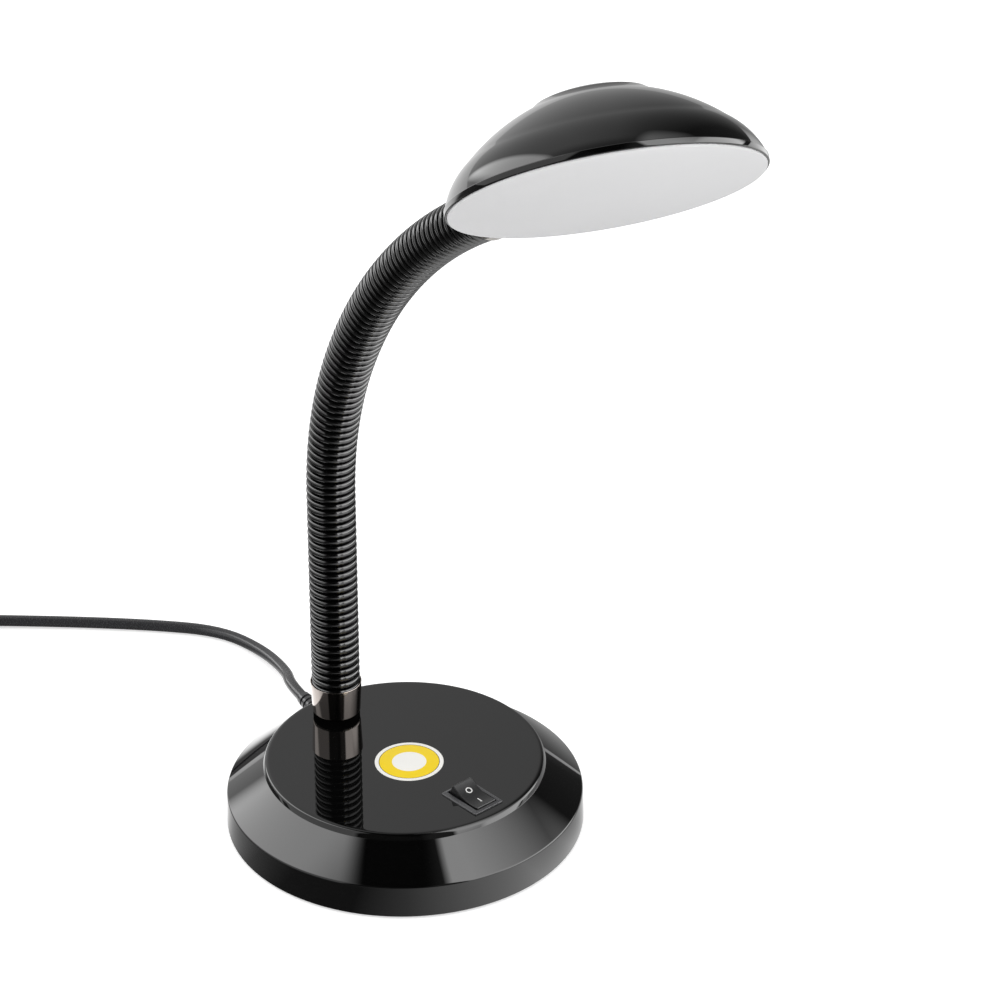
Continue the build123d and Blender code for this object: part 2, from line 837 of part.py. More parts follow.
with BuildPart() as strain_relief:
    with BuildSketch(exit_section):
        with BuildLine():
            Polyline(
                (relief_start, 0),
                (relief_start, relief_inner_r),
                (relief_inner_face, relief_inner_r),
                (relief_inner_face, relief_neck_r),
                (relief_outer_face, relief_neck_r),
                (relief_outer_face, relief_flange_r),
                (relief_taper_start, relief_flange_r),
                (relief_taper_start, relief_root_r),
                *tail_outline,
                (relief_tip_reach, relief_tip_r),
                (relief_tip_reach, 0),
                close=True,
            )
        make_face()
    revolve(axis=exit_axis)
write(strain_relief, "strain_relief")

with BuildPart() as inner_lead:
    with BuildSketch(exit_plane.offset(relief_start)):
        Circle(cord_d / 2)
    extrude(amount=-inner_lead_length)
write(inner_lead, "inner_lead")

# A saddle with two feet holds the lead down to the plate
clamp_reach = relief_start - clamp_inset
clamp_plane = exit_plane.offset(clamp_reach - clamp_width / 2)
clamp_feet = Plane(
    origin=exit_direction * clamp_reach + Vector(0, 0, plate_top),
    x_dir=exit_direction,
    z_dir=(0, 0, 1),
)
saddle_r = cord_d / 2 + screw_gap
foot_drop = plate_top - exit_height
with BuildPart() as cord_clamp:
    with BuildSketch(clamp_plane):
        Circle(saddle_r + clamp_thickness)
        with Locations((foot_drop / 2, 0)):
            Rectangle(-foot_drop, 2 * (saddle_r + clamp_thickness))
        with Locations((foot_drop + clamp_thickness, 0)):
            Rectangle(2 * clamp_thickness, clamp_foot_spacing + 2 * clamp_screw_head_r)
        Circle(saddle_r, mode=Mode.SUBTRACT)
        with Locations((foot_drop / 2, 0)):
            Rectangle(-foot_drop, 2 * saddle_r, mode=Mode.SUBTRACT)
    extrude(amount=clamp_width)
    with BuildSketch(clamp_feet):
        with GridLocations(0, clamp_foot_spacing, 1, 2):
            Circle(clamp_screw_r + screw_gap)
    extrude(amount=2 * clamp_thickness, mode=Mode.SUBTRACT)
write(cord_clamp, "cord_clamp")

with BuildPart() as clamp_screws:
    with BuildSketch(clamp_feet.offset(2 * clamp_thickness)):
        with GridLocations(0, clamp_foot_spacing, 1, 2):
            Circle(clamp_screw_head_r)
    extrude(amount=clamp_screw_head)
    with BuildSketch(clamp_feet.offset(2 * clamp_thickness)):
        with GridLocations(0, clamp_foot_spacing, 1, 2):
            Circle(clamp_screw_r)
    extrude(amount=-clamp_screw_length)
write(clamp_screws, "clamp_screws")

# Free lead
coil_height = coil_lift + cord_d / 2
heading = Vector(cos(radians(coil_heading)), sin(radians(coil_heading)), 0)
across = Vector(heading.Y, -heading.X, 0)
below_tip = exit_direction * relief_tip_reach
coil_entry = below_tip + Vector(coil_start[0], coil_start[1], coil_height)
cord_start = below_tip + Vector(0, 0, exit_height)
cord_end = coil_entry - heading * cord_d
route = [cord_start, cord_start + exit_direction * cord_exit_run]
route += [below_tip + Vector(*point) for point in cord_points]
route += [cord_end - heading * cord_last_run, cord_end]
radii = []
for before, point, after in zip(route, route[1:], route[2:]):
    turn = (point - before).get_angle(after - point)
    run = min((point - before).length, (after - point).length)
    radii.append(0.45 * run / tan(radians(turn) / 2))
print("lead bend radii", [round(radius, 1) for radius in radii])
print("lead runs", [round((b - a).length, 1) for a, b in zip(route, route[1:])])

with BuildPart() as cord:
    with BuildLine() as cord_path:
        FilletPolyline(*route, radius=radii)
    with BuildSketch(Plane(origin=cord_start, z_dir=exit_direction)):
        Circle(cord_d / 2)
    sweep()
write(cord, "cord")
cord_length = cord_path.wire().length
cord_volume = pi * cord_d**2 / 4 * cord_length
print("free lead", round(cord_length, 1), "volume ratio", cord.part.volume / cord_volume)

# Coil
# Half turns join ends that lie on one line across the lead's heading. The inner half turn
# climbs a layer, and the last one swings a step wider, over the lead that comes in.
falling = [coil_inner_r + coil_step / 2 * step for step in range(coil_half_turns, 0, -1)]
rising = list(reversed(falling)) + [falling[0] + coil_step]
half_turn_r = falling + [coil_inner_r] + rising
ends = [coil_entry]
for count, turn_r in enumerate(half_turn_r):
    side = -1 if count % 2 == 0 else 1
    ends.append(ends[-1] + across * (side * 2 * turn_r))
for count, end in enumerate(ends):
    if count > len(falling):
        end.Z = coil_height + coil_step
plug_face = ends[-1] + heading * cord_d

with BuildPart() as cord_coil:
    with BuildLine() as coil_path:
        Line(cord_end, coil_entry)
        for count, (start, end) in enumerate(zip(ends, ends[1:])):
            TangentArc(start, end, tangent=heading * (1 if count % 2 == 0 else -1))
        Line(ends[-1], plug_face)
    with BuildSketch(Plane(origin=cord_end, x_dir=(0, 0, 1), z_dir=heading)):
        RegularPolygon(cord_d / 2, coil_sides)
    sweep()
write(cord_coil, "cord_coil")
coil_wire = coil_path.wire()
coil_length = coil_wire.length
print("coil", round(coil_length, 1), "whole lead", round(coil_length + cord_length, 1))

# Least gap of the coil to itself, on points a third of a turn apart or more
samples = ceil(coil_length / 2)
points = [coil_wire.position_at(count / samples) for count in range(samples + 1)]
skip = ceil(2 * pi * coil_inner_r / 3 / 2)
least = min(
    (points[b] - points[a]).length
    for a in range(0, samples + 1, 2)
    for b in range(a + skip, samples + 1)
)
print("least gap in the coil", round(least - cord_d, 2))

# The tie goes round both layers and the last half turn
tie_inner_r = falling[-1] - cord_d / 2 - 3 * tie_gap
tie_outer_r = rising[-1] + cord_d / 2 + tie_gap
tie_middle_r = (tie_inner_r + tie_outer_r) / 2
tie_centre = coil_entry - across * falling[0] - heading * tie_middle_r
tie_inner_width = tie_outer_r - tie_inner_r
tie_inner_height = coil_step + cord_d + 2 * tie_gap
tie_plane = Plane(
    origin=(tie_centre.X, tie_centre.Y, coil_height + coil_step / 2),
    x_dir=heading,
    z_dir=across,
)
with BuildPart() as cord_tie:
    with BuildSketch(tie_plane):
        RectangleRounded(
            tie_inner_width + 2 * tie_thickness,
            tie_inner_height + 2 * tie_thickness,
            tie_thickness + tie_gap,
        )
        Rectangle(tie_inner_width, tie_inner_height, mode=Mode.SUBTRACT)
    extrude(amount=tie_width / 2, both=True)
write(cord_tie, "cord_tie")

# Plug
plug_plane = Plane(origin=plug_face, x_dir=-across, z_dir=heading)
plug_drop = plug_height / 2 - plug_face.Z
with BuildPart() as cord_plug:
    with BuildSketch(plug_plane):
        RectangleRounded(plug_tail_width, plug_tail_width, plug_corner)
    with BuildSketch(plug_plane.offset(plug_tail_length)):
        with Locations((0, plug_drop)):
            RectangleRounded(plug_tail_width, plug_tail_width, plug_corner)
    with BuildSketch(plug_plane.offset(plug_waist_length)):
        with Locations((0, plug_drop)):
            RectangleRounded(plug_waist_width, plug_height, plug_corner)
    with BuildSketch(plug_plane.offset(plug_length)):
        with Locations((0, plug_drop)):
            RectangleRounded(plug_width, plug_height, plug_corner)
    loft(ruled=True)
write(cord_plug, "cord_plug")

with BuildPart() as plug_pins:
    with BuildSketch(plug_plane.offset(plug_length)):
        with Locations((0, plug_drop)):
            with GridLocations(pin_spacing, 0, 2, 1):
                Circle(pin_r)
    extrude(amount=pin_length)
    fillet(plug_pins.faces().sort_by(Axis(plug_face, heading))[-2:].edges(), radius=pin_r / 2)
write(plug_pins, "plug_pins")

for stretch in range(1, stretch_count):
    hinge = neck_plane(hinge_marks[stretch])
    print("hinge", stretch, [round(v, 3) for v in (*hinge.origin, *hinge.z_dir)])
print("shade middle", shade_middle, "up", shade_up, "forward", shade_forward)
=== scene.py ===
"""Gooseneck desk lamp: looks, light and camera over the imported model, in metres."""

import logging
import math
from dataclasses import dataclass
from enum import Enum
from typing import Any, Optional, Sequence

import bmesh
import bpy
from bmesh.types import BMesh
from bpy.types import ID, Material, Mesh, Node, NodeTree, Object
from mathutils import Color, Matrix, Vector


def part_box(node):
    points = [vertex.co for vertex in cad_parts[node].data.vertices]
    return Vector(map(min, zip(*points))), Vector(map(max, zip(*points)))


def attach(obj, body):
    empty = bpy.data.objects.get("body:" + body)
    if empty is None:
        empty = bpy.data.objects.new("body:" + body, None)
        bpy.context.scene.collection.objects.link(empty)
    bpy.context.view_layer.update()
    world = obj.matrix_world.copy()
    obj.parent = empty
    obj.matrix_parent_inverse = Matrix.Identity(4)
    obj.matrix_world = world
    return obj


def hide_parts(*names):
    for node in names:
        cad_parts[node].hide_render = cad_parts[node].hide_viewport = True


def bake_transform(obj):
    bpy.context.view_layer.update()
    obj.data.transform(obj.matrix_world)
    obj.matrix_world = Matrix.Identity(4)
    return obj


LOG = logging.getLogger("desk_lamp")
MM = 0.001
TAU = 2 * math.pi
# Sizes that several parts share, in millimetres and degrees
DECK_TOP = 29.8
NECK_X = -43.5
NIPPLE_HOLE_R = 5.06
LEAD_BEARING = 168.1
LEAD_HEIGHT = 8.0
# The neck bends in a plane square to this direction
SIDEWAYS = Vector((0, 1, 0))
# A corner of a profile this near its axis, in millimetres, is a single point
ON_AXIS = 1e-6
# Angle from which an edge stays sharp, and the same on finely stepped forms
SHARP_DEGREES = 35.0
FINE_DEGREES = 30.0

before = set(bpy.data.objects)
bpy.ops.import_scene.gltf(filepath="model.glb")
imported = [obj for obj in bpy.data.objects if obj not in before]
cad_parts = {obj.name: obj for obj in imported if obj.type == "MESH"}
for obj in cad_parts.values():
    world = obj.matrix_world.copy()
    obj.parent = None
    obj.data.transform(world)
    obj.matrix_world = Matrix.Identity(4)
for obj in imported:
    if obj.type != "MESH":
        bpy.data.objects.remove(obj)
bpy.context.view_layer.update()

Point2 = tuple[float, float]
Point3 = tuple[float, float, float]
Profile = Sequence[Point2]
Rows = Sequence[tuple[Any, ...]]


def linear(hex_text: str) -> tuple[float, ...]:
    """Turn an sRGB hex colour into a linear one, fully opaque."""
    shade = Color([int(hex_text[start:start + 2], 16) / 255 for start in (0, 2, 4)])
    return (*shade.from_srgb_to_scene_linear(), 1.0)


def add_node(
    tree: NodeTree,
    kind: str,
    settings: Optional[dict[str, Any]] = None,
    inputs: Optional[dict[Any, Any]] = None,
) -> Node:
    """Add one node with its settings, values and links.

    Args:
        tree: The tree that takes the node.
        kind: The node's type name.
        settings: Attributes of the node, by name.
        inputs: For each input, by name or number, a value, an output, or a node for its first output.

    Returns:
        The new node.
    """
    node = tree.nodes.new(kind)
    for name, value in (settings or {}).items():
        setattr(node, name, value)
    for key, value in (inputs or {}).items():
        source = value.outputs[0] if isinstance(value, Node) else value
        if isinstance(source, bpy.types.NodeSocket):
            tree.links.new(source, node.inputs[key])
        else:
            node.inputs[key].default_value = source
    return node


def add_tables(
    tree: NodeTree, values: dict[Any, Any], ranges: Rows = (), ramps: Rows = (), sums: Rows = ()
) -> None:
    """Add a node for each row of three tables, and keep it under the row's name.

    Args:
        tree: The tree that takes the nodes.
        values: Nodes and outputs by name, which the new ones join.
        ranges: Name, interpolation, source, and the source's values that give 0 and 1.
        ramps: Name, source and stops of each grey ramp.
        sums: Name, operation and terms, each term a number or one of the names.
    """
    for name, interpolation, source, low, high in ranges:
        values[name] = add_node(tree, "ShaderNodeMapRange", {"interpolation_type": interpolation}, {
            "Value": values[source], "From Min": low, "From Max": high})
    for name, source, stops in ramps:
        values[name] = add_node(tree, "ShaderNodeValToRGB", None, {"Fac": values[source]})
        set_stops(values[name], stops)
    for name, operation, *terms in sums:
        values[name] = add_node(tree, "ShaderNodeMath", {"operation": operation}, {
            number: values.get(term, term) for number, term in enumerate(terms)})


def set_stops(node: Node, stops: Rows) -> None:
    """Set the stops of a ramp.

    Args:
        node: The ramp's node.
        stops: The position of each stop, and its grey level or its hex colour.
    """
    elements = node.color_ramp.elements
    for number, (position, tone) in enumerate(stops):
        stop = elements[number] if number < 2 else elements.new(position)
        stop.position = position
        stop.color = linear(tone) if isinstance(tone, str) else (tone, tone, tone, 1.0)


def blank_tree(owner: ID) -> NodeTree:
    """Empty the node tree of a material or a world, and hand it out.

    Args:
        owner: The material or the world.

    Returns:
        Its empty tree.
    """
    owner.use_nodes = True
    owner.node_tree.nodes.clear()
    return owner.node_tree


# Places and objects
def placed(x_axis: Vector, z_axis: Vector, origin: Vector) -> Matrix:
    """Give a place by its origin and by two of its axes, which are square to each other."""
    columns = (x_axis, z_axis.cross(x_axis), z_axis)
    return Matrix.Translation(origin) @ Matrix(columns).transposed().to_4x4()


def add_object(name: str, data: ID) -> Object:
    """Put a new object into the scene.

    Args:
        name: Its name.
        data: Its mesh, curve or camera.

    Returns:
        The object.
    """
    piece = bpy.data.objects.new(name, data)
    bpy.context.scene.collection.objects.link(piece)
    return piece


def put_on(piece: Object, material: Material, body: str, *nodes: str) -> None:
    """Dress a finished piece, set it on its body, and report it.

    Args:
        piece: The piece.
        material: Its one material.
        body: The body that it rides on.
        nodes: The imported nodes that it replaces, none for a piece of the scene alone.
    """
    piece.data.materials.clear()
    piece.data.materials.append(material)
    if nodes:
        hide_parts(*nodes)
    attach(piece, body)
    LOG.info("%s on %s", piece.name, body)


# Meshes
def arc_corner(before: Point2, corner: Point2, after: Point2, radius: float, steps: int) -> list[Point2]:
    """Round one corner of a profile.

    Args:
        before: The point before the corner.
        corner: The corner itself.
        after: The point after it.
        radius: The radius of the rounding, or 0 to keep the corner.
        steps: How many chords the rounding has.

    Returns:
        The points that take the corner's place.
    """
    if radius <= 0:
        return [corner]
    here = Vector(corner)
    back = (Vector(before) - here).normalized()
    onward = (Vector(after) - here).normalized()
    half = back.angle(onward) / 2
    reach = radius / math.tan(half)
    centre = here + (back + onward).normalized() * (radius / math.sin(half))
    first = here + back * reach - centre
    last = here + onward * reach - centre
    sweep = first.angle_signed(last)
    turned = []
    for step in range(steps + 1):
        turn = Matrix.Rotation(-sweep * step / steps, 2)
        turned.append(tuple(centre + turn @ first))
    return turned


def rounded(profile: Profile, radii: dict[int, float], steps: int = 6) -> list[Point2]:
    """Round chosen corners of a closed profile.

    Args:
        profile: Its corners in order.
        radii: A radius for each corner to be rounded, by number.
        steps: Chords for each rounding.

    Returns:
        The points of the rounded profile.
    """
    points: list[Point2] = []
    count = len(profile)
    for number, corner in enumerate(profile):
        before = profile[number - 1]
        after = profile[(number + 1) % count]
        points += arc_corner(before, corner, after, radii.get(number, 0.0), steps)
    return points


def smooth(mesh: Mesh, sharp_degrees: float) -> None:
    """Shade a mesh smooth but for its sharp edges."""
    mesh.shade_smooth()
    mesh.set_sharp_from_angle(angle=math.radians(sharp_degrees))


def turn_outward(bm: BMesh, mesh: Mesh, sharp_degrees: float) -> None:
    """Turn a bmesh's faces outward, and store it in a smooth mesh.

    Args:
        bm: The bmesh, which is freed.
        mesh: The mesh that takes it.
        sharp_degrees: The angle from which an edge stays sharp.
    """
    bmesh.ops.recalc_face_normals(bm, faces=bm.faces)
    bm.to_mesh(mesh)
    bm.free()
    smooth(mesh, sharp_degrees)


def shaded(name: str, bm: BMesh, sharp_degrees: float = SHARP_DEGREES) -> Object:
    """Make an object of a finished bmesh, smooth but for its sharp edges.

    Args:
        name: The piece's name.
        bm: Its mesh, which is freed.
        sharp_degrees: The angle from which an edge stays sharp.

    Returns:
        The new object, in the scene.
    """
    mesh = bpy.data.meshes.new(name)
    turn_outward(bm, mesh, sharp_degrees)
    return add_object(name, mesh)


def lofted(layers: Sequence[Sequence[Vector]], closed: bool = False) -> BMesh:
    """Join rings of points into a closed form.

    Args:
        layers: The rings in order, in metres, each of one point or of as many as the others.
        closed: True where the last ring joins the first one, False where both are capped.

    Returns:
        The closed mesh.
    """
    bm = bmesh.new()
    rings = [[bm.verts.new(spot) for spot in layer] for layer in layers]
    for lower, upper in zip(rings, rings[1:] + rings[:1] * closed):
        count = max(len(lower), len(upper))
        for number in range(count if count > 1 else 0):
            onward = (number + 1) % count
            corners = (lower[number % len(lower)], lower[onward % len(lower)],
                       upper[onward % len(upper)], upper[number % len(upper)])
            bm.faces.new(tuple(dict.fromkeys(corners)))
    if not closed:
        bm.faces.new(rings[0])
        bm.faces.new(rings[-1])
    return bm


def turned_mesh(profile: Profile, place: Matrix, sides: int) -> BMesh:
    """Turn a closed profile about the Z axis of a place.

    Args:
        profile: Radius and height of each corner, in millimetres.
        place: Where the turned form stands, in metres.
        sides: How many steps go round.

    Returns:
        The closed mesh.
    """
    layers = []
    for radius, height in profile:
        steps = sides if radius > ON_AXIS else 1
        angles = [TAU * step / steps for step in range(steps)]
        layers.append([place @ (Vector((radius * math.cos(angle), radius * math.sin(angle), height)) * MM)
                       for angle in angles])
    return lofted(layers, closed=True)


def swept_profile(outline: Profile, place: Matrix, depth: float) -> BMesh:
    """Give a flat outline a thickness, half to each side.

    Args:
        outline: Its corners in millimetres.
        place: The outline's plane, in metres.
        depth: The thickness in millimetres.

    Returns:
        The closed mesh.
    """
    return lofted([[place @ (Vector((x, y, side)) * MM) for x, y in outline]
                   for side in (-depth / 2, depth / 2)])


def rectangle(half_length: float, half_width: float, middle: Point2 = (0.0, 0.0)) -> Profile:
    """Give the corners of a rectangle.

    Args:
        half_length: Half of its size along X.
        half_width: Half of its size along Y.
        middle: Its middle.

    Returns:
        The four corners in order.
    """
    x, y = middle
    return ((x - half_length, y - half_width), (x + half_length, y - half_width),
            (x + half_length, y + half_width), (x - half_length, y + half_width))


def settle(piece: Object) -> None:
    """Replace a piece's mesh by what its modifiers give, and remove them.

    Args:
        piece: The piece.
    """
    bpy.context.view_layer.update()
    evaluated = piece.evaluated_get(bpy.context.evaluated_depsgraph_get())
    mesh = bpy.data.meshes.new_from_object(evaluated)
    piece.modifiers.clear()
    piece.data = mesh
    mesh.name = piece.name


def cut_away(piece: Object, cutters: Sequence[Object]) -> None:
    """Cut holes in a piece and delete the forms that cut them.

    Args:
        piece: The piece.
        cutters: The forms of its holes.
    """
    for cutter in cutters:
        boolean = piece.modifiers.new("cut", "BOOLEAN")
        boolean.operation = "DIFFERENCE"
        boolean.solver = "EXACT"
        boolean.object = cutter
    settle(piece)
    for cutter in cutters:
        bpy.data.objects.remove(cutter)
    smooth(piece.data, SHARP_DEGREES)


# Finishes
class Surface(Enum):
    """How a finish treats light at its surface."""

    PLASTIC = "plastic"
    METAL = "metal"


@dataclass(frozen=True)
class Finish:
    """A real material as its maker names it, with what its surface shows.

    The wave is the slow unevenness that a mould or a polish leaves, and the grain is the
    texture of the surface itself.
    """

    name: str
    colour: str
    roughness: float
    surface: Surface = Surface.PLASTIC
    ior: float = 1.5
    wave_mm: float = 10.0
    wave_height_mm: float = 0.0
    grain_mm: float = 0.5
    grain_height_mm: float = 0.0
    mottle: float = 0.0
    rough_spread: float = 0.05
    subsurface: float = 0.0

    def material(self) -> Material:
        """Build the material once, and hand it out after that.

        Returns:
            The node material of this finish.
        """
        known = bpy.data.materials.get(self.name)
        if known:
            return known
        material = bpy.data.materials.new(self.name)
        tree = blank_tree(material)
        place = add_node(tree, "ShaderNodeTexCoord").outputs["Object"]
        wave, grain = (add_node(tree, "ShaderNodeTexNoise", None, {
            "Vector": place, "Scale": 1000 / size, "Detail": detail})
            for size, detail in ((self.wave_mm, 2.0), (self.grain_mm, 3.0)))
        colour: Any = linear(self.colour)
        if self.mottle:
            darker, lighter = ([min(channel * share, 1.0) for channel in colour[:3]] + [1.0]
                               for share in (1 - self.mottle, 1 + self.mottle))
            colour = add_node(tree, "ShaderNodeMix", {"data_type": "RGBA"}, {
                "Factor": wave, 6: darker, 7: lighter}).outputs[2]
        rough = add_node(tree, "ShaderNodeMapRange", None, {
            "Value": grain, "From Min": 0.3, "From Max": 0.7,
            "To Min": max(self.roughness - self.rough_spread, 0.0),
            "To Max": self.roughness + self.rough_spread})
        relief: dict[str, Any] = {}
        for texture, height in ((wave, self.wave_height_mm), (grain, self.grain_height_mm)):
            if height:
                relief = {"Normal": add_node(tree, "ShaderNodeBump", None, {
                    "Height": texture, "Distance": height * MM, "Strength": 1.0, **relief})}
        shader = add_node(tree, "ShaderNodeBsdfPrincipled", None, {
            "Base Color": colour, "Roughness": rough, "IOR": self.ior,
            "Metallic": float(self.surface is Surface.METAL), "Subsurface Weight": self.subsurface,
            "Subsurface Radius": (SCATTER, SCATTER, SCATTER), "Subsurface Scale": 1.0, **relief})
        add_node(tree, "ShaderNodeOutputMaterial", None, {"Surface": shader})
        return material

    def dress(self, *names: str) -> None:
        """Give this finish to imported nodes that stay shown.

        Args:
            names: The nodes' names.
        """
        for name in names:
            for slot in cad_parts[name].material_slots:
                slot.material = self.material()


# How far light scatters inside the opal plastic, in metres
SCATTER = 0.004
# High gloss moulded ABS: a deep black mirror with the faint flow of the mould
GLOSS_ABS = Finish("gloss_black_abs", "060606", 0.02, wave_mm=22, wave_height_mm=0.0008,
                   grain_mm=4.0, rough_spread=0.006)
# Corrugated PVC cover: black with a soft sheen on each rib
RIB_PVC = Finish("corrugated_pvc", "050505", 0.1, ior=1.66, wave_mm=8, wave_height_mm=0.006,
                 grain_mm=1.5, rough_spread=0.02)
# Polished black nickel: a dark warm mirror
BLACK_NICKEL = Finish("black_nickel_plate", "A79F9A", 0.1, Surface.METAL, wave_mm=9,
                      wave_height_mm=0.002, grain_mm=0.4, rough_spread=0.03)
# Polished nickel of the upper cup and the pins
BRIGHT_NICKEL = Finish("bright_nickel_plate", "D9D5CF", 0.12, Surface.METAL, grain_mm=0.4,
                       rough_spread=0.03)
# Opal polystyrene: white, satin, light scatters inside it
OPAL = Finish("opal_polystyrene", "E2E2E3", 0.38, wave_mm=45, mottle=0.025, grain_mm=0.35,
              grain_height_mm=0.003, rough_spread=0.04, subsurface=0.25)
# Spark-eroded nylon of the switch: matt with a fine even grain
SWITCH_NYLON = Finish("switch_nylon", "161617", 0.36, grain_mm=0.25, grain_height_mm=0.012,
                      rough_spread=0.06)
# The same nylon, polished, on the frame; its colour is painted lighter than the rocker's, painted light for
# what its sloping faces catch
SWITCH_FRAME_PAINTED_LIGHT = Finish("nylon_painted_light", "424244", 0.28, grain_mm=0.6)
# White ink of the marks
PRINT_WHITE = Finish("pad_print_white", "E8E8E6", 0.45, grain_mm=0.3)
# Moulded nitrile rubber: black, hardly any gloss; its gloss is taken away as painted shade for the dark gap
# under the collar
GASKET = Finish("nitrile_rubber", "050505", 0.6, ior=1.03, grain_mm=0.4, grain_height_mm=0.01,
                rough_spread=0.08)
# Soft PVC of the lead: dark grey with a satin sheen
CORD_PVC = Finish("flexible_pvc", "303032", 0.26, ior=1.52, wave_mm=12, wave_height_mm=0.02,
                  grain_height_mm=0.002)
# Metal parts under the shell: zinc plated steel, the blackened arm and the cast ballast
STEEL = Finish("zinc_plated_steel", "B9BCC0", 0.32, Surface.METAL, grain_mm=0.6, mottle=0.05,
               rough_spread=0.1)
ARM_STEEL = Finish("blackened_steel", "3A3A3C", 0.42, Surface.METAL, rough_spread=0.1)
CAST_IRON = Finish("cast_iron", "3B3A38", 0.6, Surface.METAL, wave_mm=5, wave_height_mm=0.05,
                   grain_mm=0.8, grain_height_mm=0.05, mottle=0.12, rough_spread=0.12)
# Grained polypropylene plate and its foam rubber pad
PLATE_PP = Finish("grained_polypropylene", "151515", 0.5, grain_mm=0.6, grain_height_mm=0.02,
                  rough_spread=0.06)
FOAM = Finish("foam_rubber", "1A1A1A", 0.9, wave_mm=4, mottle=0.1, grain_mm=0.7, grain_height_mm=0.08)
# Driver board with its potted parts, and the white tray with the light board behind the diffuser
BOARD = Finish("solder_mask_green", "1E5B33", 0.35, grain_mm=0.6, mottle=0.05)
WOUND_PARTS = Finish("potted_parts", "24231F", 0.45, mottle=0.1, rough_spread=0.08)
TRAY_WHITE = Finish("white_polystyrene", "E9E9E7", 0.4)
LED_BOARD = Finish("white_mask_board", "E4E6E6", 0.35)
PHOSPHOR = Finish("phosphor_resin", "E8D060", 0.3, grain_mm=0.3)
# Tinned brass of the switch's tabs, and the plastic skin of the wire tie
BRASS = Finish("tinned_brass", "C9BFA0", 0.3, Surface.METAL, grain_mm=0.4, rough_spread=0.08)
TIE_PVC = Finish("tie_wire_pvc", "202020", 0.45, grain_mm=0.4)


